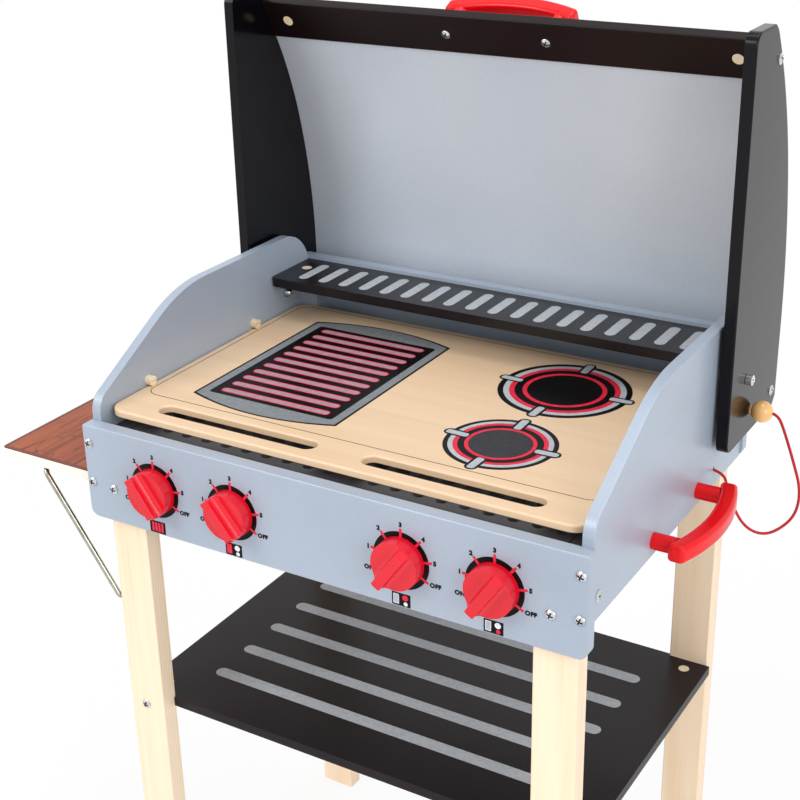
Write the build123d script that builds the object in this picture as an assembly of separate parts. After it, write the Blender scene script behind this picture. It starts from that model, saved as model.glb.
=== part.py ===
"""Toy barbecue grill: a wooden play grill on four legs with a lid, four dials and a folding side shelf.

Millimetres. While it is modelled, x runs from the middle of the body to the right, y runs back from the
front panel's face, and z is the height above the floor. At the end every piece moves by SHIFT, so that the
origin is on the floor under the middle of the whole object.
"""
import math
import os

from build123d import *

# Body: panels, legs and boards
WORK_HEIGHT = 580.0
BODY_HALF = 233.0
SIDE_THICK = 9.6
INNER_HALF = BODY_HALF - SIDE_THICK
PANEL_HALF = 235.0
FRONT_THICK = 12.0
FRONT_HEIGHT = 87.0
REAR_Y = 331.0
BACK_THICK = 10.0
PANEL_BOTTOM = WORK_HEIGHT - 63.0
BACK_TOP = WORK_HEIGHT + 54.5
SIDE_TOP = WORK_HEIGHT + 83.5
LEG_WIDTH = 37.4
LEG_DEPTH = 18.0
LEG_TOP = WORK_HEIGHT - 20.0
LEG_INNER = INNER_HALF - LEG_WIDTH
TRAY_THICK = 10.0
TRAY_TOP = LEG_TOP + TRAY_THICK
RAIL_WIDTH = 16.0
RAIL_FRONT = 60.0
TRAY_HOLE_D = 10.0
TRAY_HOLE_PITCH = 20.6
TRAY_HOLE_COLUMNS = 20
TRAY_HOLE_YS = (41.7, 70.4)
TRAY_SEAM_X = 206.0
SEAM_WIDTH = 0.8
SEAM_DEPTH = 1.5
COOKTOP_THICK = 6.0
BOARD_TOP = WORK_HEIGHT + 10.0
BOARD_BOTTOM = BOARD_TOP - COOKTOP_THICK
BOARD_HALF = 222.6
BOARD_FRONT = 19.6
BOARD_REAR = 313.3
BOARD_CORNER = 15.0
BOARD_EASE = 1.8
SLOT_FRONT = 33.2
SLOT_REAR = 49.5
SLOT_INNER = 22.6
SLOT_OUTER = 180.7
RACK_TOP = WORK_HEIGHT + 51.2
RACK_THICK = 9.0
RACK_FRONT = 265.0
SHELF_TOP = 301.5
SHELF_THICK = 9.0
SHELF_HALF = 225.9
SHELF_FRONT = 27.0
SHELF_REAR = 316.0
SHELF_NOTCH = 3.0

# Fasteners
BOLT_D = 5.0
BOLT_HEAD_D = 9.5
SCREW_D = 3.0
SCREW_HEAD_D = 8.5
HEAD_HEIGHT = 2.6
BARREL_D = 10.0
RUNNING_GAP = 0.05
CLEAR = 0.3

# Places of fasteners
PANEL_SCREW_X = 229.0
PANEL_SCREW_Z = (WORK_HEIGHT - 16.7, WORK_HEIGHT - 53.2)
LEG_SCREW_X = 205.8
LEG_SCREW_Z = WORK_HEIGHT - 55.2
LEG_BOLT_Z = WORK_HEIGHT - 42.6
LEG_MID_Y = (FRONT_THICK + LEG_DEPTH / 2, REAR_Y - LEG_DEPTH / 2)
BARREL_INSET = 14.4
SHELF_BOLT_X = 206.0
RACK_BOLT_Y = 305.5
RACK_BARREL_X = 208.2
BOARD_PIN_Y = (76.0, 232.8)
BOARD_PIN_D = 9.0

# Dials
KNOB_X = (-160.0, -80.0, 80.0, 160.0)
KNOB_Z = WORK_HEIGHT - 45.5
KNOB_ANGLES = (125.0, 129.0, 234.0, 236.0)
KNOB_R = 20.6
KNOB_DRAFT = 0.8
KNOB_BOSS_D = 10.0
KNOB_HEIGHT = 21.0
KNOB_FLOOR = 12.0
GRIP_HALF = 4.2
GRIP_TAIL = 17.6
SCOOP_R = 5.5

# Bow handles
POST_D = 14.0
POST_PITCH = 96.1
POST_HEIGHT = 14.6
BOW_LENGTH = 124.0
BOW_WIDTH = 15.0
BOW_THICK = 15.0
BOW_RISE = 12.0
HANDLE_Y = 174.6
HANDLE_Z = WORK_HEIGHT - 49.0

# Lid, as it stands open
LID_INNER = 237.0
LID_PLATE = 10.0
LID_PIVOT = (288.0, WORK_HEIGHT + 29.5)
LID_FRONT_Y = 250.0
LID_REAR_Y = 376.0
LID_BOTTOM = WORK_HEIGHT - 27.0
LID_TOP = WORK_HEIGHT + 321.0
LID_CURVE = ((376.0, WORK_HEIGHT + 48.0), (356.0, WORK_HEIGHT + 198.0), (303.0, WORK_HEIGHT + 314.0))
SKIN_INSET = 8.0
SKIN_THICK = 3.0
BAR_THICK = 10.0
BAR_FOOT = (313.0, WORK_HEIGHT + 272.8)
BAR_HEAD = (295.2, WORK_HEIGHT + 307.7)
REAR_BAR_Z = (WORK_HEIGHT - 23.0, WORK_HEIGHT + 7.0)
PIVOT_D = 6.0
PIVOT_HEAD_D = 12.0
SPACER_D = 14.0

# Lock peg and its cord
PEG_Y = 306.5
PEG_Z = WORK_HEIGHT - 5.5
PEG_D = 8.0
BALL_R = 9.5
BALL_X = 257.0
BALL_FLAT = 0.1
CORD_D = 2.5
CORD_HOLE_D = 4.0
KNOT_R = 4.6
CORD_EXIT = (INNER_HALF, 261.6, WORK_HEIGHT - 46.2)
CORD_ROUTE = (
    (266.4, 306.5, 574.5),
    (279.0, 306.5, 574.5),
    (286.5, 304.0, 553.0),
    (292.5, 302.0, 528.0),
    (295.5, 301.0, 504.0),
    (292.5, 296.0, 485.0),
    (284.0, 287.0, 476.0),
    (271.5, 278.0, 474.5),
    (260.5, 269.0, 482.0),
    (252.0, 262.0, 499.0),
    (246.5, 260.5, 516.5),
    (240.9, 261.6, 533.8),
    CORD_EXIT,
)

# Side shelf, its hinges and its wire stay
SIDE_SHELF_TOP = WORK_HEIGHT - 53.0
SIDE_SHELF_THICK = 9.0
SIDE_SHELF_INNER = -234.7
SIDE_SHELF_OUTER = -350.0
HINGE_X = -236.2
HINGE_Z = WORK_HEIGHT - 64.6
HINGE_LENGTH = 40.0
HINGE_Y = (60.0, 243.0)
HINGE_PIN_D = 2.5
HINGE_SCREW_LENGTH = 8.0
BARREL_R = 2.4
LEAF_THICK = 1.2
LEAF_WIDTH = 18.6
WIRE_D = 5.0
STAY_PIVOT = (-227.5, WORK_HEIGHT - 177.0)
STAY_BAR_X = -304.0
STAY_Y = (16.0, 327.0)
CLIP_SETBACK = 8.6
STAY_BEND_R = 9.0
CLIP_LENGTH = 8.0
CLIP_FLANGE = 8.0

# From the body's axes to the object's own origin
LEFT_MOST = SIDE_SHELF_OUTER
RIGHT_MOST = INNER_HALF + SIDE_THICK + POST_HEIGHT + BOW_THICK + BOW_RISE
FRONT_MOST = -KNOB_HEIGHT
SHIFT = (-(LEFT_MOST + RIGHT_MOST) / 2, -(FRONT_MOST + LID_REAR_Y) / 2, 0.0)

ALONG_X = Plane(origin=(0, 0, 0), x_dir=(0, 1, 0), z_dir=(1, 0, 0))


def box(x0, x1, y0, y1, z0, z1):
    """A plain block between two corners."""
    return Pos((x0 + x1) / 2, (y0 + y1) / 2, (z0 + z1) / 2) * Box(abs(x1 - x0), abs(y1 - y0), abs(z1 - z0))


def rod(start, direction, diameter, length):
    """A cylinder that begins at a point and runs along a direction."""
    plane = Plane(origin=start, z_dir=direction)
    return extrude(plane * Circle(diameter / 2), length)


def cap_arc(radius, rim, top):
    """The profile of a shallow round cap, with its centre on the axis, from the rim to the top."""
    rise = top - rim
    sphere = (radius**2 + rise**2) / (2 * rise)
    half_angle = math.asin(radius / sphere) / 2
    middle = (sphere * math.sin(half_angle), top - sphere * (1 - math.cos(half_angle)))
    return ThreePointArc((radius, rim), middle, (0, top))


def domed_head(start, direction, diameter, height):
    """A low domed screw head that stands on a face, turned about its own axis."""
    rim = height * 0.3
    profile = Polyline((0, 0), (diameter / 2, 0), (diameter / 2, rim))
    dome = cap_arc(diameter / 2, rim, height)
    outline = make_face(Plane.XZ * (profile + dome + Line((0, height), (0, 0))))
    head = revolve(outline, Axis.Z)
    return Plane(origin=start, z_dir=direction).location * head


def screw(face_point, inward, shank_d, head_d, length):
    """A screw seated on a face: the dome outside, the shank going in."""
    outward = tuple(-value for value in inward)
    return domed_head(face_point, outward, head_d, HEAD_HEIGHT) + rod(face_point, inward, shank_d, length)


def fillet_vertical(solid, radius):
    """Round the edges that run along z."""
    return fillet(solid.edges().filter_by(Axis.Z), radius)


def mirrored(solids):
    """The same pieces on the other side of the body."""
    return [mirror(solid, Plane.YZ) for solid in solids]


def group(solids):
    """Separate solids that share one name."""
    return Compound(children=list(solids))


def prism_x(outline, x0, x1):
    """Extrude an outline drawn as (y, z) between two x values."""
    return Pos(x0, 0, 0) * extrude(ALONG_X * outline, x1 - x0)


def front_panel():
    """The control panel with rounded lower corners, dial holes and screw holes."""
    panel = box(-PANEL_HALF, PANEL_HALF, 0, FRONT_THICK, WORK_HEIGHT - FRONT_HEIGHT, WORK_HEIGHT)
    corners = panel.edges().filter_by(Axis.Y)
    panel = fillet(corners.group_by(Axis.Z)[0], 8.0)
    panel = fillet(panel.edges().filter_by(Axis.Y).group_by(Axis.Z)[-1], 2.5)
    panel = fillet(panel.faces().sort_by(Axis.Y)[0].outer_wire().edges(), 1.2)
    for x in KNOB_X:
        panel -= rod((x, -1, KNOB_Z), (0, 1, 0), KNOB_BOSS_D + 2 * RUNNING_GAP, FRONT_THICK + 2)
    for x, z in panel_screw_places():
        panel -= rod((x, -1, z), (0, 1, 0), SCREW_D, FRONT_THICK + 2)
    return panel


def panel_screw_places():
    """Where the screws go through the front panel, as (x, z)."""
    edge = [(side * PANEL_SCREW_X, z) for side in (-1, 1) for z in PANEL_SCREW_Z]
    return edge + [(side * LEG_SCREW_X, LEG_SCREW_Z) for side in (-1, 1)]


def back_screw_places():
    """Where the screws go through the back panel, as (x, z)."""
    heights = (PANEL_BOTTOM + 14, WORK_HEIGHT + 30)
    return [(side * PANEL_SCREW_X, z) for side in (-1, 1) for z in heights]


def back_panel():
    """The plain board behind the cooktop."""
    panel = box(-PANEL_HALF, PANEL_HALF, REAR_Y, REAR_Y + BACK_THICK, PANEL_BOTTOM, BACK_TOP)
    panel = fillet(panel.edges().filter_by(Axis.Y), 6.0)
    for x, z in back_screw_places():
        panel -= rod((x, REAR_Y - 1, z), (0, 1, 0), SCREW_D, BACK_THICK + 2)
    return panel


def side_outline():
    """The side panel's outline as (y, z): low at the front, rising in a curve to a flat top."""
    front_top = WORK_HEIGHT + 7.0
    ramp_start = (22.5, WORK_HEIGHT + 23.9)
    ramp_end = (99.0, WORK_HEIGHT + 66.0)
    nose = TangentArc((12, front_top), ramp_start, tangent=(0, 1))
    crest = TangentArc(ramp_end, (165.0, SIDE_TOP), tangent=(77.0, 42.3))
    shoulder_start = (291.0, SIDE_TOP)
    shoulder = TangentArc(shoulder_start, (REAR_Y, SIDE_TOP - 40.0), tangent=(1, 0))
    base = Polyline((REAR_Y, SIDE_TOP - 40.0), (REAR_Y, PANEL_BOTTOM), (12, PANEL_BOTTOM), (12, front_top))
    slope = Line(ramp_start, ramp_end)
    return make_face(nose + slope + crest + Line(crest @ 1, shoulder_start) + shoulder + base)


def side_panel(side):
    """A side panel with its edges eased and every hole that goes through it."""
    low, high = (INNER_HALF, BODY_HALF) if side > 0 else (-BODY_HALF, -INNER_HALF)
    panel = prism_x(side_outline(), low, high)
    outer = panel.faces().sort_by(Axis.X)[-1 if side > 0 else 0]
    panel = fillet(outer.outer_wire().edges(), 1.2)
    start = side * (INNER_HALF - 1)
    reach = SIDE_THICK + 2
    through = (side, 0, 0)
    panel -= rod((start, *LID_PIVOT), through, PIVOT_D, reach)
    panel -= rod((start, RACK_BOLT_Y, RACK_TOP - RACK_THICK / 2), through, BOLT_D, reach)
    for y in LEG_MID_Y:
        panel -= rod((start, y, LEG_BOLT_Z), through, BOLT_D, reach)
    for y in BOARD_PIN_Y:
        panel -= rod((start, y, BOARD_TOP + BOARD_PIN_D / 2), through, SCREW_D, SIDE_THICK - 1)
    for z in PANEL_SCREW_Z:
        panel -= rod((side * PANEL_SCREW_X, FRONT_THICK - 1, z), (0, 1, 0), SCREW_D, 22)
    for x, z in back_screw_places():
        panel -= rod((x, REAR_Y + 1, z), (0, -1, 0), SCREW_D, 22)
    if side < 0:
        for y, z in hinge_screw_places():
            panel -= rod((-BODY_HALF - 1, y, z), (1, 0, 0), SCREW_D, HINGE_SCREW_LENGTH)
    if side > 0:
        panel -= rod((start, PEG_Y, PEG_Z), through, PEG_D + 0.6, reach)
        panel -= rod((start, CORD_EXIT[1], CORD_EXIT[2]), through, CORD_HOLE_D, reach)
        for y in handle_screw_ys():
            panel -= rod((start, y, HANDLE_Z), through, SCREW_D, reach)
    return panel


def handle_screw_ys():
    """The side handle's two screws."""
    return (HANDLE_Y - POST_PITCH / 2, HANDLE_Y + POST_PITCH / 2)


def leg(side, front):
    """One leg: a long plywood board with its edges eased."""
    mid_y = LEG_MID_Y[0] if front else LEG_MID_Y[1]
    inner, outer = sorted((side * LEG_INNER, side * INNER_HALF))
    board = box(inner, outer, mid_y - LEG_DEPTH / 2, mid_y + LEG_DEPTH / 2, 0, LEG_TOP)
    board = fillet(board.edges().filter_by(Axis.Z), 1.5)
    board -= rod((side * INNER_HALF, mid_y, LEG_BOLT_Z), (-side, 0, 0), BOLT_D, 24)
    board -= rod((side * SHELF_BOLT_X, mid_y - LEG_DEPTH, shelf_mid_z()), (0, 1, 0), BOLT_D, 2 * LEG_DEPTH)
    if front:
        board -= rod((side * LEG_SCREW_X, FRONT_THICK, LEG_SCREW_Z), (0, 1, 0), SCREW_D, 12)
    if side < 0:
        for z in clip_screw_zs():
            board -= rod((-INNER_HALF, clip_y(front), z), (1, 0, 0), SCREW_D, 10)
    return board


def shelf_mid_z():
    """The height of the bolts that carry the lower shelf."""
    return SHELF_TOP - SHELF_THICK / 2


def shelf_barrel_ys():
    """The rows of cross dowels in the lower shelf."""
    return (LEG_MID_Y[0] + LEG_DEPTH / 2 + BARREL_INSET, LEG_MID_Y[1] - LEG_DEPTH / 2 - BARREL_INSET)


def lower_shelf():
    """The lower shelf, drawn in at its four corners where the legs stand."""
    shelf = box(-SHELF_HALF, SHELF_HALF, SHELF_FRONT, SHELF_REAR, SHELF_TOP - SHELF_THICK, SHELF_TOP)
    notch = LEG_INNER - 0.4
    cutters = []
    for side in (-1, 1):
        cutters.append(box(side * notch, side * 240, SHELF_FRONT - 1, SHELF_FRONT + SHELF_NOTCH, 0, WORK_HEIGHT))
        cutters.append(box(side * notch, side * 240, SHELF_REAR - SHELF_NOTCH, SHELF_REAR + 1, 0, WORK_HEIGHT))
        for y, toward in zip(shelf_barrel_ys(), (-1, 1)):
            x = side * SHELF_BOLT_X
            hole = rod((x, y, SHELF_TOP - SHELF_THICK - 1), (0, 0, 1), BARREL_D, SHELF_THICK + 2)
            cutters.append(hole + rod((x, y, shelf_mid_z()), (0, toward, 0), BOLT_D, 20))
    return shelf - cutters


def shelf_bolts():
    """Bolts from outside each leg into the shelf's cross dowels."""
    bolts = []
    for side in (-1, 1):
        bolts.append(screw((side * SHELF_BOLT_X, FRONT_THICK, shelf_mid_z()), (0, 1, 0), BOLT_D, BOLT_HEAD_D, 36))
        bolts.append(screw((side * SHELF_BOLT_X, REAR_Y, shelf_mid_z()), (0, -1, 0), BOLT_D, BOLT_HEAD_D, 36))
    return group(bolts)


def barrel_nut(centre, height, toward):
    """A cross dowel: a slotted cylinder with a hole that its bolt enters."""
    x, y, z = centre
    nut = rod((x, y, z - height / 2), (0, 0, 1), BARREL_D, height)
    nut -= rod((x, y, z), toward, BOLT_D, BARREL_D)
    return nut - rod((x, y, z), tuple(-value for value in toward), BOLT_D, 3.6)


def shelf_barrel_nuts():
    """The four cross dowels that show in the lower shelf's top."""
    nuts = []
    for side in (-1, 1):
        for y, toward in zip(shelf_barrel_ys(), (-1, 1)):
            nuts.append(barrel_nut((side * SHELF_BOLT_X, y, shelf_mid_z()), SHELF_THICK, (0, toward, 0)))
    return group(nuts)


def tray_board():
    """The dark board under the cooktop, with two rows of round holes and a seam near each end."""
    gap = 0.2
    board = box(-INNER_HALF + gap, INNER_HALF - gap, FRONT_THICK, REAR_Y, LEG_TOP, TRAY_TOP)
    first = -TRAY_HOLE_PITCH * (TRAY_HOLE_COLUMNS - 1) / 2
    cutters = []
    for step in range(TRAY_HOLE_COLUMNS):
        for y in TRAY_HOLE_YS:
            place = (first + step * TRAY_HOLE_PITCH, y, LEG_TOP - 1)
            cutters.append(rod(place, (0, 0, 1), TRAY_HOLE_D, TRAY_THICK + 2))
    for side in (-1, 1):
        edges = (side * TRAY_SEAM_X - SEAM_WIDTH / 2, side * TRAY_SEAM_X + SEAM_WIDTH / 2)
        cutters.append(box(*edges, FRONT_THICK - 1, REAR_Y + 1, TRAY_TOP - SEAM_DEPTH, TRAY_TOP + 1))
    return board - cutters


def cooktop_rails():
    """Two strips beside the side panels that the cooktop lies on."""
    rails = []
    for side in (-1, 1):
        inner, outer = sorted((side * (INNER_HALF - RAIL_WIDTH), side * INNER_HALF))
        rails.append(box(inner, outer, RAIL_FRONT, REAR_Y - LEG_DEPTH, TRAY_TOP, BOARD_BOTTOM))
    return group(rails)


def cooktop():
    """The beech board with two finger slots near its front edge."""
    board = box(-BOARD_HALF, BOARD_HALF, BOARD_FRONT, BOARD_REAR, BOARD_BOTTOM, BOARD_TOP)
    board = fillet_vertical(board, BOARD_CORNER)
    slot_length = SLOT_OUTER - SLOT_INNER
    slot_width = SLOT_REAR - SLOT_FRONT
    for side in (-1, 1):
        outline = SlotOverall(slot_length, slot_width)
        place = Pos(side * (SLOT_INNER + slot_length / 2), (SLOT_FRONT + SLOT_REAR) / 2, BOARD_BOTTOM - 1)
        board -= place * extrude(outline, COOKTOP_THICK + 2)
    return fillet(board.faces().sort_by(Axis.Z)[-1].edges(), BOARD_EASE)


def board_pins():
    """Slotted wooden pins that stop the cooktop from lifting."""
    pins = []
    for y in BOARD_PIN_Y:
        z = BOARD_TOP + BOARD_PIN_D / 2
        pin = rod((INNER_HALF - 6.0, y, z), (1, 0, 0), BOARD_PIN_D, 6.0)
        pin -= box(INNER_HALF - 7, INNER_HALF - 4.8, y - 6, y + 6, z - 0.7, z + 0.7)
        pins.append(pin + rod((INNER_HALF, y, z), (1, 0, 0), SCREW_D, 7.0))
    return group(pins + mirrored(pins))


def warming_rack():
    """The plank over the back of the cooktop."""
    bottom = RACK_TOP - RACK_THICK
    plank = box(-INNER_HALF + 0.2, INNER_HALF - 0.2, RACK_FRONT, REAR_Y, bottom, RACK_TOP)
    front_corners = plank.edges().filter_by(Axis.Z).group_by(Axis.Y)[0]
    plank = fillet(front_corners, 5.0)
    for side in (-1, 1):
        middle = (side * RACK_BARREL_X, RACK_BOLT_Y, bottom - 1)
        plank -= rod(middle, (0, 0, 1), BARREL_D, RACK_THICK + 2)
        plank -= rod((side * RACK_BARREL_X, RACK_BOLT_Y, RACK_TOP - RACK_THICK / 2), (side, 0, 0), BOLT_D, 20)
    return plank


def rack_post(side):
    """A short block that the warming rack rests on."""
    inner, outer = sorted((side * (INNER_HALF - 19.4), side * INNER_HALF))
    return box(inner, outer, REAR_Y - LEG_DEPTH + 0.6, REAR_Y, TRAY_TOP, RACK_TOP - RACK_THICK)


def rack_bolts():
    """Bolts through the side panels into the warming rack."""
    z = RACK_TOP - RACK_THICK / 2
    bolt = screw((BODY_HALF, RACK_BOLT_Y, z), (-1, 0, 0), BOLT_D, BOLT_HEAD_D, 26.0)
    return group([bolt] + mirrored([bolt]))


def rack_barrel_nuts():
    """The two cross dowels of the warming rack."""
    centre = (RACK_BARREL_X, RACK_BOLT_Y, RACK_TOP - RACK_THICK / 2)
    nut = barrel_nut(centre, RACK_THICK, (1, 0, 0))
    return group([nut] + mirrored([nut]))


def panel_screws():
    """Screws in the front panel."""
    return group(screw((x, 0, z), (0, 1, 0), SCREW_D, SCREW_HEAD_D, 24) for x, z in panel_screw_places())


def back_screws():
    """Screws in the back panel."""
    rear = REAR_Y + BACK_THICK
    return group(screw((x, rear, z), (0, -1, 0), SCREW_D, SCREW_HEAD_D, 28) for x, z in back_screw_places())


def leg_bolts():
    """Bolts through the side panels into the tops of the legs."""
    bolts = [screw((BODY_HALF, y, LEG_BOLT_Z), (-1, 0, 0), BOLT_D, BOLT_HEAD_D, 30) for y in LEG_MID_Y]
    return group(bolts + mirrored(bolts))


def bow(plane):
    """A bow handle's grip on a mounting plane: long along the plane's x, standing off along its z."""
    half = BOW_LENGTH / 2
    low = POST_HEIGHT
    high = POST_HEIGHT + BOW_THICK
    under = ThreePointArc((-half, low), (0, low + BOW_RISE), (half, low))
    over = ThreePointArc((half, high), (0, high + BOW_RISE), (-half, high))
    outline = make_face(under + Line((half, low), (half, high)) + over + Line((-half, high), (-half, low)))
    grip = extrude(Plane.XZ * outline, BOW_WIDTH / 2, both=True)
    grip = fillet(grip.edges().filter_by(Axis.Y), 4.0)
    grip = fillet(grip.faces().sort_by(Axis.Y)[0].outer_wire().edges(), 3.5)
    grip = fillet(grip.faces().sort_by(Axis.Y)[-1].outer_wire().edges(), 3.5)
    for x in (-POST_PITCH / 2, POST_PITCH / 2):
        grip -= rod((x, 0, 0), (0, 0, 1), SCREW_D, POST_HEIGHT + 12)
    return plane.location * grip


def bow_posts(plane):
    """The two turned posts under a bow handle, ending on the grip's underside."""
    half = BOW_LENGTH / 2
    under = ThreePointArc((-half, POST_HEIGHT), (0, POST_HEIGHT + BOW_RISE), (half, POST_HEIGHT))
    block = make_face(Polyline((half, POST_HEIGHT), (half, 0), (-half, 0), (-half, POST_HEIGHT)) + under)
    space = extrude(Plane.XZ * block, BOW_WIDTH, both=True)
    posts = []
    for x in (-POST_PITCH / 2, POST_PITCH / 2):
        post = rod((x, 0, 0), (0, 0, 1), POST_D, POST_HEIGHT + BOW_RISE) & space
        posts.append(plane.location * (post - rod((x, 0, -1), (0, 0, 1), SCREW_D, 60)))
    return group(posts)


def bow_screws(plane, board_thick):
    """Screws from behind the board, through the posts, into the grip."""
    screws = []
    for x in (-POST_PITCH / 2, POST_PITCH / 2):
        length = board_thick + POST_HEIGHT + 11
        screws.append(plane.location * screw((x, 0, -board_thick), (0, 0, 1), SCREW_D, SCREW_HEAD_D, length))
    return group(screws)


SIDE_HANDLE_PLANE = Plane(origin=(BODY_HALF, HANDLE_Y, HANDLE_Z), x_dir=(0, 1, 0), z_dir=(1, 0, 0))


def lid_bar_frame():
    """The front bar's own axes: the foot, the way up along it and the way out."""
    run = Vector(0, BAR_HEAD[0] - BAR_FOOT[0], BAR_HEAD[1] - BAR_FOOT[1])
    up = run.normalized()
    out = Vector(0, up.Z, -up.Y)
    return Vector(0, *BAR_FOOT), up, out, run.length


def lid_handle_plane():
    """The plane of the front bar's outer face, at its middle."""
    foot, up, out, length = lid_bar_frame()
    middle = foot + up * (length / 2) + out * BAR_THICK
    return Plane(origin=middle, x_dir=(1, 0, 0), z_dir=out)


def lid_outline(bottom=LID_BOTTOM):
    """A lid plate's outline as (y, z): straight in front, curved behind."""
    start, middle, end = LID_CURVE
    lower = TangentArc(start, middle, tangent=(0, 1))
    upper = TangentArc(middle, end, tangent=lower % 1)
    corner = 11.0
    rear_foot = Polyline(
        (LID_FRONT_Y + corner, bottom),
        (LID_REAR_Y - 8.0, bottom),
        (LID_REAR_Y, bottom + 8.0),
        start,
    )
    crown = TangentArc(end, (295.0, LID_TOP), tangent=upper % 1)
    front_top = TangentArc((LID_FRONT_Y + corner, LID_TOP), (LID_FRONT_Y, LID_TOP - corner), tangent=(-1, 0))
    front_foot = TangentArc(
        (LID_FRONT_Y, bottom + corner), (LID_FRONT_Y + corner, bottom), tangent=(0, -1)
    )
    top = Line(crown @ 1, front_top @ 0)
    front = Line(front_top @ 1, front_foot @ 0)
    return make_face(rear_foot + lower + upper + crown + top + front_top + front + front_foot)


def lid_side(side):
    """A lid plate with its pivot hole, bolt holes and, at the right, the peg's hole."""
    low, high = sorted((side * LID_INNER, side * (LID_INNER + LID_PLATE)))
    plate = prism_x(lid_outline(), low, high)
    outer = plate.faces().sort_by(Axis.X)[-1 if side > 0 else 0]
    plate = fillet(outer.outer_wire().edges(), 1.5)
    start = side * (LID_INNER - 1)
    through = (side, 0, 0)
    reach = LID_PLATE + 2
    plate -= rod((start, *LID_PIVOT), through, PIVOT_D + 2 * RUNNING_GAP, reach)
    for y, z in lid_bolt_places():
        plate -= rod((start, y, z), through, BOLT_D, reach)
    if side > 0:
        plate -= rod((start, PEG_Y, PEG_Z), through, PEG_D + 2 * RUNNING_GAP, reach)
    return plate


def lid_bolt_places():
    """The bolts into the front bar and the rear bar, as (y, z)."""
    foot, up, out, length = lid_bar_frame()
    front = foot + up * (length / 2) + out * (BAR_THICK / 2)
    rear_y = LID_REAR_Y - SKIN_INSET - SKIN_THICK - BAR_THICK / 2
    return ((front.Y, front.Z), (rear_y, sum(REAR_BAR_Z) / 2))


def lid_skin():
    """The curved sheet between the lid plates."""
    outline = lid_outline(LID_BOTTOM - 20)
    sheet = offset(outline, -SKIN_INSET, kind=Kind.INTERSECTION)
    sheet -= offset(outline, -SKIN_INSET - SKIN_THICK, kind=Kind.INTERSECTION)
    foot, up, out, _ = lid_bar_frame()
    end = foot + out * 30
    start = foot - out * 40
    keep = Polyline(
        (LID_REAR_Y + 40, REAR_BAR_Z[0]),
        (end.Y, end.Z),
        (start.Y, start.Z),
        (LID_CURVE[0][0] - 60, REAR_BAR_Z[1]),
        (LID_CURVE[0][0] - 60, REAR_BAR_Z[0]),
        close=True,
    )
    return prism_x(sheet & make_face(keep), -LID_INNER, LID_INNER)


def bar_with_nuts(bar, places):
    """Cut a lid bar for its bolts and cross dowels: places holds (centre, dowel axis)."""
    for (y, z), axis in places:
        for side in (-1, 1):
            centre = Vector(side * (LID_INNER - 22.0), y, z)
            bar -= rod(centre - axis * BAR_THICK, tuple(axis), BARREL_D, 2 * BAR_THICK)
            bar -= rod(tuple(centre), (side, 0, 0), BOLT_D, 30)
    return bar


def lid_front_bar():
    """The dark plank that carries the lid's handle."""
    foot, up, out, length = lid_bar_frame()
    corners = (foot, foot + up * length, foot + up * length + out * BAR_THICK, foot + out * BAR_THICK)
    outline = make_face(Polyline(*[(corner.Y, corner.Z) for corner in corners], close=True))
    bar = prism_x(outline, -LID_INNER, LID_INNER)
    bar = fillet(bar.edges().filter_by(Axis.X), 1.5)
    bar = bar_with_nuts(bar, [(lid_bolt_places()[0], out)])
    plane = lid_handle_plane()
    for x in (-POST_PITCH / 2, POST_PITCH / 2):
        bar -= plane.location * rod((x, 0, -BAR_THICK - 1), (0, 0, 1), SCREW_D, BAR_THICK + 2)
    return bar


def lid_rear_bar():
    """The plank along the lid's rear edge."""
    rear = LID_REAR_Y - SKIN_INSET - SKIN_THICK
    bar = box(-LID_INNER, LID_INNER, rear - BAR_THICK, rear, *REAR_BAR_Z)
    bar = fillet(bar.edges().filter_by(Axis.X).group_by(Axis.Y)[0], 1.5)
    return bar_with_nuts(bar, [(lid_bolt_places()[1], Vector(0, 1, 0))])


def lid_bolts():
    """Bolts through the lid plates into the bars."""
    outside = LID_INNER + LID_PLATE
    bolts = [screw((outside, y, z), (-1, 0, 0), BOLT_D, BOLT_HEAD_D, 34) for y, z in lid_bolt_places()]
    return group(bolts + mirrored(bolts))


def lid_barrel_nuts():
    """Cross dowels in the lid's bars."""
    _, _, out, _ = lid_bar_frame()
    nuts = []
    for (y, z), axis in zip(lid_bolt_places(), (out, Vector(0, 1, 0))):
        centre = Vector(LID_INNER - 22.0, y, z)
        nut = rod(centre - axis * (BAR_THICK / 2), tuple(axis), BARREL_D, BAR_THICK)
        nuts.append(nut - rod(tuple(centre - Vector(3.6, 0, 0)), (1, 0, 0), BOLT_D, 20))
    return group(nuts + mirrored(nuts))


def pivot_bolts():
    """The bolts that the lid turns on: head outside the plate, shank through to the nut."""
    start = LID_INNER + LID_PLATE + CLEAR
    bolt = screw((start, *LID_PIVOT), (-1, 0, 0), PIVOT_D, PIVOT_HEAD_D, start - INNER_HALF + 4)
    return group([bolt] + mirrored([bolt]))


def pivot_spacers():
    """Washers that keep the lid plates off the side panels."""
    washer = rod((BODY_HALF, *LID_PIVOT), (1, 0, 0), SPACER_D, LID_INNER - BODY_HALF - CLEAR)
    washer -= rod((BODY_HALF - 1, *LID_PIVOT), (1, 0, 0), PIVOT_D, 10)
    return group([washer] + mirrored([washer]))


def pivot_nuts():
    """Acorn nuts on the inner faces of the side panels."""
    hexagon = extrude(RegularPolygon(5.4, 6), 4.0)
    dome = Pos(0, 0, 4.0) * Sphere(4.2) & Pos(0, 0, 8.0) * Box(12, 12, 8.0)
    nut = hexagon + dome - Cylinder(PIVOT_D / 2, 8.0)
    placed = Plane(origin=(INNER_HALF, *LID_PIVOT), x_dir=(0, 1, 0), z_dir=(-1, 0, 0)).location * nut
    return group([placed] + mirrored([placed]))


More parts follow.
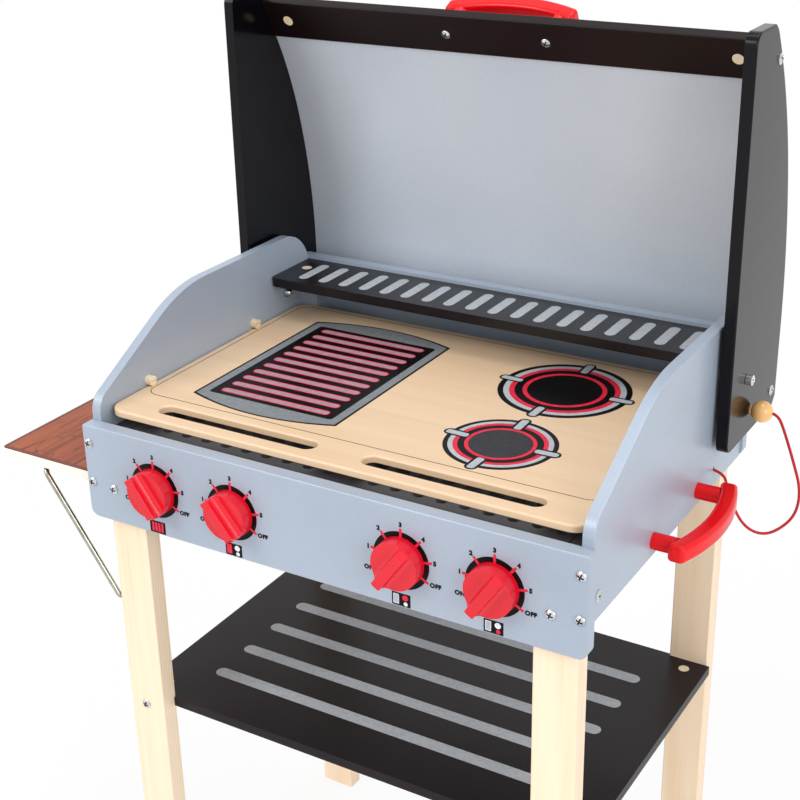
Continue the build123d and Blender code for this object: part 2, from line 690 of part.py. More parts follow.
def lock_peg():
    """The wooden dowel that pins the open lid, cut flush inside the lid plate."""
    start = LID_INNER + CLEAR
    return rod((start, PEG_Y, PEG_Z), (1, 0, 0), PEG_D, BALL_X - start)


def peg_ball():
    """The ball on the peg's outer end."""
    ball = Pos(BALL_X, PEG_Y, PEG_Z) * Sphere(BALL_R)
    ball &= box(BALL_X - 20, BALL_X + BALL_R - BALL_FLAT, PEG_Y - 20, PEG_Y + 20, PEG_Z - 20, PEG_Z + 20)
    return ball - lock_peg()


def cord_radii(points):
    """The largest fillet radius that both runs at each corner allow."""
    radii = []
    for before, corner, after in zip(points, points[1:], points[2:]):
        first = Vector(*corner) - Vector(*before)
        second = Vector(*after) - Vector(*corner)
        turn = math.radians(first.get_angle(second))
        radii.append(0.45 * min(first.length, second.length) / math.tan(turn / 2))
    return radii


def red_cord():
    """The safety cord from the ball, out and down, back through the side panel."""
    points = CORD_ROUTE
    radii = cord_radii(points)
    path = FilletPolyline(*points, radius=radii)
    cord = sweep(Plane(origin=points[0], z_dir=path % 0) * Circle(CORD_D / 2), path=path)
    expected = math.pi * (CORD_D / 2) ** 2 * path.length
    print("cord radii", [round(radius, 1) for radius in radii], "length", round(path.length, 1))
    print("cord volume over section times length", round(cord.volume / expected, 4))
    return cord


def cord_knot():
    """The knot that keeps the cord's end behind the side panel."""
    ends = KNOT_R * 0.6
    length = KNOT_R * 1.8
    profile = Polyline((0, 0), (ends, 0), (KNOT_R, length * 0.3), (KNOT_R, length * 0.7), (ends, length), (0, length))
    knot = revolve(make_face(Plane.XZ * (profile + Line((0, length), (0, 0)))), Axis.Z)
    return Plane(origin=CORD_EXIT, z_dir=(-1, 0, 0)).location * knot


def knob_plane(index):
    """A dial's own axes: z out of the panel, x along its pointer."""
    angle = math.radians(KNOB_ANGLES[index])
    return Plane(
        origin=(KNOB_X[index], 0, KNOB_Z), x_dir=(math.cos(angle), 0, math.sin(angle)), z_dir=(0, -1, 0)
    )


def knob(index):
    """A dial: a round body scooped at both sides, which leaves a straight grip, with a boss through the panel."""
    foot = Polyline((0, CLEAR), (KNOB_R, CLEAR), (KNOB_R - KNOB_DRAFT, KNOB_HEIGHT), (0, KNOB_HEIGHT), close=True)
    body = revolve(make_face(Plane.XZ * foot), Axis.Z)
    reach = KNOB_R + 5
    above = KNOB_HEIGHT + 5
    bend = JernArc((GRIP_HALF, KNOB_FLOOR + SCOOP_R), (0, -1), SCOOP_R, 90)
    rest = Polyline(bend @ 1, (reach, KNOB_FLOOR), (reach, above), (GRIP_HALF, above), bend @ 0)
    scoop = extrude(Plane.YZ * make_face(bend + rest), 2 * reach, both=True)
    tail = Polyline((-GRIP_TAIL, above), (-GRIP_TAIL, KNOB_HEIGHT), (-KNOB_R, KNOB_FLOOR), (-reach, above), close=True)
    ramp = extrude(Plane.XZ * make_face(tail), reach, both=True)
    body -= [scoop, mirror(scoop, Plane.XZ), ramp]
    grip_edges = body.edges().filter_by(Axis.X)
    body = fillet(grip_edges.group_by(Axis.Z)[-1], 0.8)
    boss = Pos(0, 0, -FRONT_THICK - 0.2) * extrude(Circle(KNOB_BOSS_D / 2), FRONT_THICK + 1.2)
    bore = Pos(0, 0, -FRONT_THICK - 0.2) * extrude(Circle(SCREW_D / 2), FRONT_THICK)
    return knob_plane(index).location * (body + boss - bore)


def knob_screw(index):
    """The screw and washer that hold a dial from behind the panel."""
    back = -FRONT_THICK - 0.2
    washer = Pos(0, 0, back - 1.2) * extrude(Circle(8.0), 1.2)
    head = domed_head((0, 0, back - 1.2), (0, 0, -1), 6.0, 2.2)
    shank = Pos(0, 0, back) * extrude(Circle(SCREW_D / 2), FRONT_THICK - 0.2)
    return knob_plane(index).location * (washer + head + shank)


def side_shelf():
    """The folding shelf at the left."""
    bottom = SIDE_SHELF_TOP - SIDE_SHELF_THICK
    board = box(SIDE_SHELF_OUTER, SIDE_SHELF_INNER, FRONT_THICK, REAR_Y, bottom, SIDE_SHELF_TOP)
    outer_corners = board.edges().filter_by(Axis.Z).group_by(Axis.X)[0]
    board = fillet(outer_corners, 6.0)
    board = fillet(board.faces().sort_by(Axis.Z)[-1].outer_wire().edges(), 1.2)
    for x, y in shelf_leaf_screw_places():
        board -= rod((x, y, bottom), (0, 0, 1), SCREW_D, 6.0)
    return board


def shelf_leaf_screw_places():
    """Two screws in each moving leaf, as (x, y)."""
    return [(HINGE_X - 12.0, y + step) for y in HINGE_Y for step in (8.0, HINGE_LENGTH - 8.0)]


def hinge_screw_places():
    """Two screws in each fixed leaf, as (y, z)."""
    return [(y + step, HINGE_Z + 12.0) for y in HINGE_Y for step in (8.0, HINGE_LENGTH - 8.0)]


def knuckle_spans(y):
    """A hinge's three knuckles along its axis: the outer two are fixed, the middle one moves."""
    third = HINGE_LENGTH / 3
    return ((y, y + third - CLEAR), (y + third, y + 2 * third), (y + 2 * third + CLEAR, y + HINGE_LENGTH))


def shelf_hinge_leaves():
    """The hinge leaves on the side panel, each with two outer knuckles."""
    leaves = []
    for y in HINGE_Y:
        first, middle, last = knuckle_spans(y)
        inner = -BODY_HALF - LEAF_THICK
        leaf = box(inner, -BODY_HALF, y, y + HINGE_LENGTH, HINGE_Z, HINGE_Z + LEAF_WIDTH)
        leaf -= box(inner - 1, -BODY_HALF + 1, middle[0] - CLEAR, middle[1] + CLEAR, 0, HINGE_Z + BARREL_R + CLEAR)
        for span in (first, last):
            leaf += rod((HINGE_X, span[0], HINGE_Z), (0, 1, 0), 2 * BARREL_R, span[1] - span[0])
            leaf += box(HINGE_X, -BODY_HALF, *span, HINGE_Z, HINGE_Z + LEAF_THICK)
        leaf -= rod((HINGE_X, y - 1, HINGE_Z), (0, 1, 0), HINGE_PIN_D, HINGE_LENGTH + 2)
        for step in (8.0, HINGE_LENGTH - 8.0):
            leaf -= rod((-BODY_HALF + 1, y + step, HINGE_Z + 12.0), (-1, 0, 0), SCREW_D, 4)
        leaves.append(leaf)
    return group(leaves)


def shelf_hinge_pins():
    """The hinge pins."""
    return group(rod((HINGE_X, y, HINGE_Z), (0, 1, 0), HINGE_PIN_D, HINGE_LENGTH) for y in HINGE_Y)


def shelf_moving_leaves():
    """The hinge leaves under the shelf, each with the middle knuckle."""
    leaves = []
    bottom = SIDE_SHELF_TOP - SIDE_SHELF_THICK
    for y in HINGE_Y:
        _, middle, _ = knuckle_spans(y)
        clear_x = HINGE_X - BARREL_R - CLEAR
        leaf = box(HINGE_X - LEAF_WIDTH, clear_x, y, y + HINGE_LENGTH, bottom - LEAF_THICK, bottom)
        leaf += box(clear_x - 1, HINGE_X, *middle, bottom - LEAF_THICK, bottom)
        leaf += rod((HINGE_X, middle[0], HINGE_Z), (0, 1, 0), 2 * BARREL_R, middle[1] - middle[0])
        leaf -= rod((HINGE_X, y - 1, HINGE_Z), (0, 1, 0), HINGE_PIN_D + 2 * RUNNING_GAP, HINGE_LENGTH + 2)
        for step in (8.0, HINGE_LENGTH - 8.0):
            leaf -= rod((HINGE_X - 12.0, y + step, bottom - 4), (0, 0, 1), SCREW_D, 6)
        leaves.append(leaf)
    return group(leaves)


def shelf_leaf_screws():
    """Screws from below into the side shelf."""
    seat = SIDE_SHELF_TOP - SIDE_SHELF_THICK - LEAF_THICK
    return group(screw((x, y, seat), (0, 0, 1), SCREW_D, 6.0, 7.0) for x, y in shelf_leaf_screw_places())


def hinge_leaf_screws():
    """Screws from outside into the left side panel."""
    seat = -BODY_HALF - LEAF_THICK
    return group(flat_screw((seat, y, z), (1, 0, 0), HINGE_SCREW_LENGTH) for y, z in hinge_screw_places())


def flat_screw(seat, inward, length):
    """A screw whose low head leaves room for the shelf's edge."""
    outward = tuple(-value for value in inward)
    return rod(seat, outward, 5.5, 0.2) + rod(seat, inward, SCREW_D, length)


def clip_y(front):
    """Where a stay clip begins on its leg."""
    return STAY_Y[0] + CLIP_SETBACK if front else STAY_Y[1] - CLIP_SETBACK


def clip_screw_zs():
    """The two screws of each stay clip."""
    reach = WIRE_D / 2 + LEAF_THICK + CLIP_FLANGE / 2
    return (STAY_PIVOT[1] - reach, STAY_PIVOT[1] + reach)


def stay_clips():
    """Saddles that hold the wire stay's turned ends on the left legs."""
    clips = []
    hole = WIRE_D / 2 + RUNNING_GAP
    shell = hole + LEAF_THICK
    flange = shell + CLIP_FLANGE
    for front in (True, False):
        start = clip_y(front) - CLIP_LENGTH / 2
        x, z = STAY_PIVOT
        clip = box(-INNER_HALF - LEAF_THICK, -INNER_HALF, start, start + CLIP_LENGTH, z - flange, z + flange)
        clip += rod((x, start, z), (0, 1, 0), 2 * shell, CLIP_LENGTH)
        clip += box(x, -INNER_HALF, start, start + CLIP_LENGTH, z - shell, z + shell)
        clip &= box(x - 20, -INNER_HALF, start, start + CLIP_LENGTH, z - flange, z + flange)
        clip -= rod((x, start - 1, z), (0, 1, 0), 2 * hole, CLIP_LENGTH + 2)
        for screw_z in clip_screw_zs():
            clip -= rod((-INNER_HALF + 1, clip_y(front), screw_z), (-1, 0, 0), SCREW_D, 4)
        clips.append(clip)
    return group(clips)


def stay_clip_screws():
    """Screws that hold the clips."""
    seat = -INNER_HALF - LEAF_THICK
    screws = []
    for front in (True, False):
        for z in clip_screw_zs():
            screws.append(screw((seat, clip_y(front), z), (1, 0, 0), SCREW_D, 6.0, 10.0))
    return group(screws)


def wire_stay():
    """One bent wire: turned end, arm, bar under the shelf, arm, turned end."""
    x, z = STAY_PIVOT
    top_z = SIDE_SHELF_TOP - SIDE_SHELF_THICK - WIRE_D / 2 - 0.1
    turn = 15.0
    points = [
        (x, STAY_Y[0] + turn, z),
        (x, STAY_Y[0], z),
        (STAY_BAR_X, STAY_Y[0], top_z),
        (STAY_BAR_X, STAY_Y[1], top_z),
        (x, STAY_Y[1], z),
        (x, STAY_Y[1] - turn, z),
    ]
    path = FilletPolyline(*points, radius=[4.0, STAY_BEND_R, STAY_BEND_R, 4.0])
    return sweep(Plane(origin=points[0], z_dir=path % 0) * Circle(WIRE_D / 2), path=path)


def all_parts():
    """Every piece by its name."""
    lid_plane = lid_handle_plane()
    parts = {
        "front_panel": front_panel(),
        "back_panel": back_panel(),
        "side_panel_left": side_panel(-1),
        "side_panel_right": side_panel(1),
        "leg_front_left": leg(-1, True),
        "leg_front_right": leg(1, True),
        "leg_rear_left": leg(-1, False),
        "leg_rear_right": leg(1, False),
        "lower_shelf": lower_shelf(),
        "shelf_bolts": shelf_bolts(),
        "shelf_barrel_nuts": shelf_barrel_nuts(),
        "tray_board": tray_board(),
        "cooktop_rails": cooktop_rails(),
        "cooktop": cooktop(),
        "board_pins": board_pins(),
        "warming_rack": warming_rack(),
        "rack_post_left": rack_post(-1),
        "rack_post_right": rack_post(1),
        "rack_bolts": rack_bolts(),
        "rack_barrel_nuts": rack_barrel_nuts(),
        "panel_screws": panel_screws(),
        "back_screws": back_screws(),
        "leg_bolts": leg_bolts(),
        "side_handle": bow(SIDE_HANDLE_PLANE),
        "side_handle_posts": bow_posts(SIDE_HANDLE_PLANE),
        "side_handle_screws": bow_screws(SIDE_HANDLE_PLANE, SIDE_THICK),
        "pivot_bolts": pivot_bolts(),
        "pivot_spacers": pivot_spacers(),
        "pivot_nuts": pivot_nuts(),
        "red_cord": red_cord(),
        "cord_knot": cord_knot(),
        "shelf_hinge_leaves": shelf_hinge_leaves(),
        "shelf_hinge_pins": shelf_hinge_pins(),
        "hinge_leaf_screws": hinge_leaf_screws(),
        "stay_clips": stay_clips(),
        "stay_clip_screws": stay_clip_screws(),
        "lid_side_left": lid_side(-1),
        "lid_side_right": lid_side(1),
        "lid_skin": lid_skin(),
        "lid_front_bar": lid_front_bar(),
        "lid_rear_bar": lid_rear_bar(),
        "lid_bolts": lid_bolts(),
        "lid_barrel_nuts": lid_barrel_nuts(),
        "lid_handle": bow(lid_plane),
        "lid_handle_posts": bow_posts(lid_plane),
        "lid_handle_screws": bow_screws(lid_plane, BAR_THICK),
        "lock_peg": lock_peg(),
        "peg_ball": peg_ball(),
        "side_shelf": side_shelf(),
        "shelf_moving_leaves": shelf_moving_leaves(),
        "shelf_leaf_screws": shelf_leaf_screws(),
        "wire_stay": wire_stay(),
    }
    for index in range(len(KNOB_X)):
        parts[f"knob_{index + 1}"] = knob(index)
        parts[f"knob_screw_{index + 1}"] = knob_screw(index)
    return parts


def main():
    """Write one file for each piece."""
    os.makedirs("parts", exist_ok=True)
    for name, shape in all_parts().items():
        export_step(Pos(*SHIFT) * shape, f"parts/{name}.step")
    print("shift", [round(value, 3) for value in SHIFT])


main()
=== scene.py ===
"""Looks of a wooden play grill: paint, wood, print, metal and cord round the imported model."""

import logging
import math
from dataclasses import dataclass, field
from enum import Enum

import bpy
import numpy as np
from mathutils import Matrix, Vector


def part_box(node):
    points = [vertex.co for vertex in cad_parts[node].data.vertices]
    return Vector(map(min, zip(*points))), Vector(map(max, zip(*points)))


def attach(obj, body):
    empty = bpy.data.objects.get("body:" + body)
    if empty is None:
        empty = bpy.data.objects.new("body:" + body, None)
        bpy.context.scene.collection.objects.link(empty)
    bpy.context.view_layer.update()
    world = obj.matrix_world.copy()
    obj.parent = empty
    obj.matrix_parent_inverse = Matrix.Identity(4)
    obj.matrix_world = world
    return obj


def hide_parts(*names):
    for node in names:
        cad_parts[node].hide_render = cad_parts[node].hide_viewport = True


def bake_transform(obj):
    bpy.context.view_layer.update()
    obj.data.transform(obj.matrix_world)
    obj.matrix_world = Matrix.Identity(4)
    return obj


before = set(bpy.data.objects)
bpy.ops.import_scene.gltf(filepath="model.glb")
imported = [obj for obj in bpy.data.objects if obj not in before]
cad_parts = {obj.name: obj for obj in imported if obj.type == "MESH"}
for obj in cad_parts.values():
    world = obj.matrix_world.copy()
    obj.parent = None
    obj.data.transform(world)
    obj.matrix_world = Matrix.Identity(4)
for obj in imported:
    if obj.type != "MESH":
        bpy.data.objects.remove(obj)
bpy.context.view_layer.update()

logging.basicConfig(level=logging.INFO, format="%(message)s")
LOG = logging.getLogger("grill")

MM = 0.001
FULL_TURN = 2 * math.pi
X_AXIS, Y_AXIS, Z_AXIS = np.eye(3)

Array = np.ndarray
Socket = bpy.types.NodeSocket
Tree = bpy.types.NodeTree
Piece = bpy.types.Object
Flat = tuple[float, float]
Point = tuple[float, float, float]

# What a clear lacquer, a paint or an ink bends light by
LACQUER_IOR = 1.5
# How far the first layer of ink reaches into its board, in millimetres, so that no gap shows
SUNK = -0.05


def linear(hex_colour: str) -> tuple[float, float, float, float]:
    """Turn an sRGB hex colour into linear light.

    Args:
        hex_colour: six hex digits after a hash sign.

    Returns:
        Red, green, blue and an alpha of one, by the sRGB curve.
    """
    values = [int(hex_colour[index:index + 2], 16) / 255 for index in (1, 3, 5)]
    light = [v / 12.92 if v <= 0.04045 else ((v + 0.055) / 1.055) ** 2.4 for v in values]
    return (*light, 1.0)


def add(tree: Tree, kind: str, inputs: dict | None = None, **settings: object) -> bpy.types.Node:
    """Add one node with its settings, and link or set its inputs.

    Args:
        tree: the node tree.
        kind: the node's type name.
        inputs: input name or number to a value, or to a socket that is linked.
        **settings: attributes of the node.

    Returns:
        The new node.
    """
    made = tree.nodes.new(kind)
    for name, value in settings.items():
        setattr(made, name, value)
    for name, value in (inputs or {}).items():
        if isinstance(value, Socket):
            tree.links.new(value, made.inputs[name])
        else:
            made.inputs[name].default_value = value
    return made


def calc(tree: Tree, operation: str, *values: Socket | float, clamp: bool = False) -> Socket:
    """The result of one operation on sockets and plain numbers."""
    inputs = dict(enumerate(values))
    return add(tree, "ShaderNodeMath", inputs, operation=operation, use_clamp=clamp).outputs[0]


def place(tree: Tree, kind: str = "Object") -> Socket:
    """Standard coordinates: Object for its own axes, UV for its map, Normal for its face."""
    return add(tree, "ShaderNodeTexCoord").outputs[kind]


def along_axes(tree: Tree, kind: str = "Object") -> bpy.types.NodeOutputs:
    """The X, Y and Z of standard coordinates."""
    return add(tree, "ShaderNodeSeparateXYZ", {0: place(tree, kind)}).outputs


def noise(tree: Tree, scale: Point, detail: float, distortion: float = 0.0) -> Socket:
    """Noise from 0 to 1, with so many patches to a metre along x, y and z."""
    vector = add(tree, "ShaderNodeMapping", {"Vector": place(tree), "Scale": scale}).outputs[0]
    inputs = {"Vector": vector, "Scale": 1.0, "Detail": detail, "Distortion": distortion}
    return add(tree, "ShaderNodeTexNoise", inputs).outputs["Fac"]


def patches(tree: Tree, per_m: float, detail: float = 2.0) -> Socket:
    """Noise that is alike in every direction, with so many patches to a metre."""
    return noise(tree, (per_m, per_m, per_m), detail)


def ramp(tree: Tree, value: Socket, *stops: tuple[float, str]) -> Socket:
    """A colour for each value, from stops of position and hex colour."""
    made = add(tree, "ShaderNodeValToRGB", {"Fac": value})
    elements = made.color_ramp.elements
    for index, (position, colour) in enumerate(stops):
        element = elements[index] if index < 2 else elements.new(position)
        element.position = position
        element.color = linear(colour)
    return made.outputs["Color"]


def spread(
    tree: Tree, value: Socket, low: float, high: float, start: float = 0.0, end: float = 1.0,
) -> Socket:
    """Carry a value from start to end over to a range from low to high, and hold it there."""
    inputs = {"Value": value, "From Min": start, "From Max": end, "To Min": low, "To Max": high}
    return add(tree, "ShaderNodeMapRange", inputs).outputs["Result"]


def around(tree: Tree, value: Socket, middle: float, uneven: float) -> Socket:
    """Carry a value of 0 to 1 over to a range that reaches as far to both sides of a middle."""
    return spread(tree, value, middle - uneven, middle + uneven)


def weighed(tree: Tree, first: Socket, second: Socket, share: float) -> Socket:
    """The sum of two values of 0 to 1, of which the first has this share."""
    rest = spread(tree, second, 0.0, 1.0 - share)
    return calc(tree, "ADD", spread(tree, first, 0.0, share), rest)


def raised(tree: Tree, height: Socket, depth: float) -> Socket:
    """A bumped normal from a height, whose full depth is given in metres."""
    inputs = {"Height": height, "Distance": depth, "Strength": 1.0}
    return add(tree, "ShaderNodeBump", inputs).outputs[0]


def mixed(tree: Tree, share: Socket, first: Socket, second: Socket | str) -> Socket:
    """A colour from the first to the second, which may be a hex colour, by a share of 0 to 1."""
    end = linear(second) if isinstance(second, str) else second
    return add(tree, "ShaderNodeMix", {0: share, 6: first, 7: end}, data_type="RGBA").outputs[2]


@dataclass(frozen=True)
class Finish:
    """A real finish: plain values on the standard shader, and a pattern that nodes paint."""

    name: str

    def values(self) -> dict:
        """Plain values for the shader's own sockets."""
        return {}

    def paint(self, tree: Tree) -> dict:
        """Make the pattern's nodes, and give socket name to linked socket."""
        return {}

    def material(self) -> bpy.types.Material:
        """Make the finish's material on the standard shader."""
        material = bpy.data.materials.new(self.name)
        material.use_nodes = True
        tree = material.node_tree
        shader = tree.nodes["Principled BSDF"]
        for socket, value in self.values().items():
            shader.inputs[socket].default_value = value
        for socket, link in self.paint(tree).items():
            tree.links.new(link, shader.inputs[socket])
        return material


@dataclass(frozen=True)
class Lacquer(Finish):
    """Sprayed paint on a smooth board: even, with a faint orange peel under a clear sheen."""

    colour: str
    shade: str
    roughness: float
    sheen_level: float = 0.5
    cloud_per_m: float = 9.0
    peel_mm: float = 1.6
    peel_depth: float = 0.000006
    uneven: float = 0.03

    def values(self) -> dict:
        """The sheen of the clear film."""
        return {"IOR": LACQUER_IOR, "Specular IOR Level": self.sheen_level}

    def paint(self, tree: Tree) -> dict:
        """Cloudy colour over hand widths, and the peel of the sprayed film."""
        cloud = patches(tree, self.cloud_per_m)
        peel = patches(tree, 1 / (self.peel_mm * MM))
        return {
            "Base Color": ramp(tree, cloud, (0.35, self.shade), (0.65, self.colour)),
            "Roughness": around(tree, peel, self.roughness, self.uneven),
            "Normal": raised(tree, peel, self.peel_depth),
        }


@dataclass(frozen=True)
class Flake(Finish):
    """Silver paint with fine aluminium flake: a satin sheen that sparkles from close by."""

    colour: str
    shade: str
    roughness: float
    metallic: float = 0.12
    grain_per_m: float = 1250.0
    cloud_per_m: float = 7.0
    grain_share: float = 0.6
    grain_depth: float = 0.00001
    uneven: float = 0.06

    def values(self) -> dict:
        """Partly metal, under a thin satin coat."""
        coat = {"Coat Weight": 0.25, "Coat Roughness": 0.2}
        return {"Metallic": self.metallic, "IOR": LACQUER_IOR, **coat}

    def paint(self, tree: Tree) -> dict:
        """Flake grains of about 0.8 mm, coarser than real so that they show, over a slow cloud."""
        grain = patches(tree, self.grain_per_m, 1.0)
        both = weighed(tree, grain, patches(tree, self.cloud_per_m), self.grain_share)
        return {
            "Base Color": ramp(tree, both, (0.3, self.shade), (0.7, self.colour)),
            "Roughness": around(tree, grain, self.roughness, self.uneven),
            "Normal": raised(tree, grain, self.grain_depth),
        }


class Run(Enum):
    """The way that wood grain runs, as the stretch of a pattern along x, y and z."""

    ACROSS = (1.0, 26.0, 26.0)
    UP = (26.0, 26.0, 1.0)


@dataclass(frozen=True)
class Timber(Finish):
    """Sanded wood under clear lacquer: long soft grain, darker pores and a low sheen."""

    pale: str
    middle: str
    dark: str
    run: Run
    roughness: float = 0.42
    ply_mm: float = 0.0
    ply_share: float = 0.3
    cut_edge: float = 0.8
    pores_per_m: float = 9.0
    pores_per_band: float = 5.0
    band_share: float = 0.7
    pore_depth: float = 0.00003
    uneven: float = 0.06

    def values(self) -> dict:
        """A thin satin coat."""
        return {"IOR": LACQUER_IOR, "Coat Weight": 0.15, "Coat Roughness": 0.25}

    def paint(self, tree: Tree) -> dict:
        """Long bands from stretched noise, short pores from finer noise, and plies on cut edges."""
        along = [stretch * self.pores_per_m for stretch in self.run.value]
        bands = noise(tree, tuple(value / self.pores_per_band for value in along), 4.0, 0.6)
        pores = noise(tree, tuple(along), 3.0)
        both = weighed(tree, bands, pores, self.band_share)
        colour = ramp(tree, both, (0.25, self.dark), (0.5, self.middle), (0.72, self.pale))
        return {
            "Base Color": self.with_plies(tree, colour) if self.ply_mm else colour,
            "Roughness": around(tree, pores, self.roughness, -self.uneven),
            "Normal": raised(tree, pores, self.pore_depth),
        }

    def with_plies(self, tree: Tree, colour: Socket) -> Socket:
        """Thin veneers stacked along y show as faint lines on the faces that look sideways."""
        turns = calc(tree, "MULTIPLY", along_axes(tree)["Y"], math.pi / (self.ply_mm * MM))
        wave = spread(tree, calc(tree, "SINE", turns), 0.0, 1.0)
        lines = ramp(tree, wave, (0.3, "#cdb79c"), (0.75, "#f4e6cf"))
        sideways = calc(tree, "ABSOLUTE", along_axes(tree, "Normal")["X"])
        cut = calc(tree, "GREATER_THAN", sideways, self.cut_edge)
        faint = calc(tree, "MULTIPLY", cut, self.ply_share)
        return mixed(tree, faint, colour, lines)


@dataclass(frozen=True)
class Metal(Finish):
    """Plated or drawn steel: bright, with a slightly uneven polish."""

    colour: str
    shade: str
    roughness: float
    # The painted shade in a driver recess, where light hardly reaches
    recess: str = "#4a494b"
    haze_per_m: float = 150.0
    haze_shares: Flat = (0.7, 1.3)

    def values(self) -> dict:
        """All metal."""
        return {"Metallic": 1.0}

    def paint(self, tree: Tree) -> dict:
        """Slow haze, and a painted shade in a driver recess, whose points carry the attribute
        recess.
        """
        haze = patches(tree, self.haze_per_m, 1.0)
        polish = ramp(tree, haze, (0.3, self.shade), (0.6, self.colour))
        painted_recess_shade = add(tree, "ShaderNodeAttribute", attribute_name="recess").outputs["Fac"]
        smooth, dull = (self.roughness * share for share in self.haze_shares)
        return {
            "Base Color": mixed(tree, painted_recess_shade, polish, self.recess),
            "Roughness": spread(tree, haze, smooth, dull),
        }


@dataclass(frozen=True)
class Ink(Finish):
    """Screen-printed ink: a thin even film with a slightly broken sheen."""

    colour: str
    shade: str
    roughness: float = 0.35
    mottle_per_m: float = 260.0
    uneven: float = 0.05

    def values(self) -> dict:
        """A weak sheen."""
        return {"IOR": LACQUER_IOR, "Specular IOR Level": 0.12}

    def paint(self, tree: Tree) -> dict:
        """A mottle a few millimetres wide, as ink on sanded board has."""
        mottle = patches(tree, self.mottle_per_m, 3.0)
        return {
            "Base Color": ramp(tree, mottle, (0.35, self.shade), (0.6, self.colour)),
            "Roughness": around(tree, mottle, self.roughness, self.uneven),
        }


@dataclass(frozen=True)
class Braid(Finish):
    """Round braided polyester cord: crossed strands that catch light in small lozenges, with a
    painted shade in the hollows between them.
    """

    colour: str
    # The painted shade in the hollows between strands
    shade: str
    strands_round: float = 8.0
    pitch_mm: float = 3.0
    strand_depth: float = 0.00025

    def values(self) -> dict:
        """Dull, with a little fibre sheen."""
        return {"Roughness": 0.75, "Sheen Weight": 0.08, "Sheen Roughness": 0.5}

    def paint(self, tree: Tree) -> dict:
        """Two sets of diagonal waves on the cord's own map: u round it, v along it in metres; the
        hollows between strands get a painted shade.
        """
        split = along_axes(tree, "UV")
        waves = []
        for hand in (-1.0, 1.0):
            around = calc(tree, "MULTIPLY", split["X"], hand * FULL_TURN * self.strands_round / 2)
            along = calc(tree, "MULTIPLY_ADD", split["Y"], FULL_TURN / (self.pitch_mm * MM), around)
            waves.append(calc(tree, "SINE", along))
        height = spread(tree, calc(tree, "MAXIMUM", *waves), 0.0, 1.0)
        return {
            # Painted shade: the colour is darker low in the hollows between strands
            "Base Color": ramp(tree, height, (0.1, self.shade), (0.7, self.colour)),
            "Normal": raised(tree, height, self.strand_depth),
        }


@dataclass(frozen=True)
class PlankPrint(Finish):
    """A board printed as brown planks: broad tones, dark seams, wavy grain lines and a border."""

    low: Flat
    high: Flat
    plank: float = 0.042
    seam: Flat = (0.0008, 0.002)
    border: float = 0.005
    # Patches to a metre of the streaks, the broad tones and the grain lines
    streaks_per_m: Point = (190.0, 5.0, 5.0)
    tones_per_m: Point = (16.0, 2.0, 2.0)
    rings_per_m: Point = (42.0, 5.0, 5.0)
    streak_share: float = 0.55
    ring_share: float = 0.75
    seam_share: float = 0.85
    top_face: float = 0.7
    ring_pitch: float = 0.09
    ring_width: float = 0.008
    streak_depth: float = 0.00004

    def values(self) -> dict:
        """A satin film over the print."""
        return {"IOR": LACQUER_IOR, "Specular IOR Level": 0.25}

    def paint(self, tree: Tree) -> dict:
        """Planks run along y; a darker border frames the top, and the sides are bare and pale."""
        streaks = noise(tree, self.streaks_per_m, 4.0, 0.8)
        tone = noise(tree, self.tones_per_m, 2.0, 1.2)
        both = weighed(tree, streaks, tone, self.streak_share)
        wood = ramp(tree, both, (0.3, "#74381f"), (0.45, "#98492a"), (0.62, "#ab5a34"))
        at = along_axes(tree)
        across = calc(tree, "ADD", at["X"], -self.low[0])
        colour = mixed(tree, self.grain_lines(tree), wood, "#5a2a18")
        colour = mixed(tree, self.seams(tree, across), colour, "#55291c")
        colour = mixed(tree, self.frame_band(tree, across, at["Y"]), colour, "#743a2c")
        level = calc(tree, "ABSOLUTE", along_axes(tree, "Normal")["Z"])
        side = calc(tree, "LESS_THAN", level, self.top_face)
        return {
            "Base Color": mixed(tree, side, colour, "#f5ede2"),
            "Roughness": spread(tree, streaks, 0.4, 0.3),
            "Normal": raised(tree, streaks, self.streak_depth),
        }

    def grain_lines(self, tree: Tree) -> Socket:
        """Thin wavy lines, where slow noise passes one of its even steps."""
        rings = noise(tree, self.rings_per_m, 1.0, 1.6)
        level = calc(tree, "PINGPONG", rings, self.ring_pitch)
        line = calc(tree, "LESS_THAN", level, self.ring_width)
        return calc(tree, "MULTIPLY", line, self.ring_share)

    def seams(self, tree: Tree, across: Socket) -> Socket:
        """A soft dark line at each plank's edge."""
        away = calc(tree, "PINGPONG", across, self.plank)
        return spread(tree, away, self.seam_share, 0.0, *self.seam)

    def frame_band(self, tree: Tree, across: Socket, back: Socket) -> Socket:
        """One within the border at the front, the back and the outer end."""
        front = calc(tree, "SUBTRACT", back, self.low[1])
        rear = calc(tree, "SUBTRACT", self.high[1], back)
        inset = calc(tree, "MINIMUM", calc(tree, "MINIMUM", front, rear), across)
        return calc(tree, "LESS_THAN", inset, self.border)


def looked_at(tree: Tree) -> Socket:
    """One where a ray comes from the camera, a mirror or a window, and nought elsewhere."""
    path = add(tree, "ShaderNodeLightPath").outputs
    shiny = calc(tree, "ADD", path["Is Glossy Ray"], path["Is Transmission Ray"])
    return calc(tree, "ADD", path["Is Camera Ray"], shiny, clamp=True)


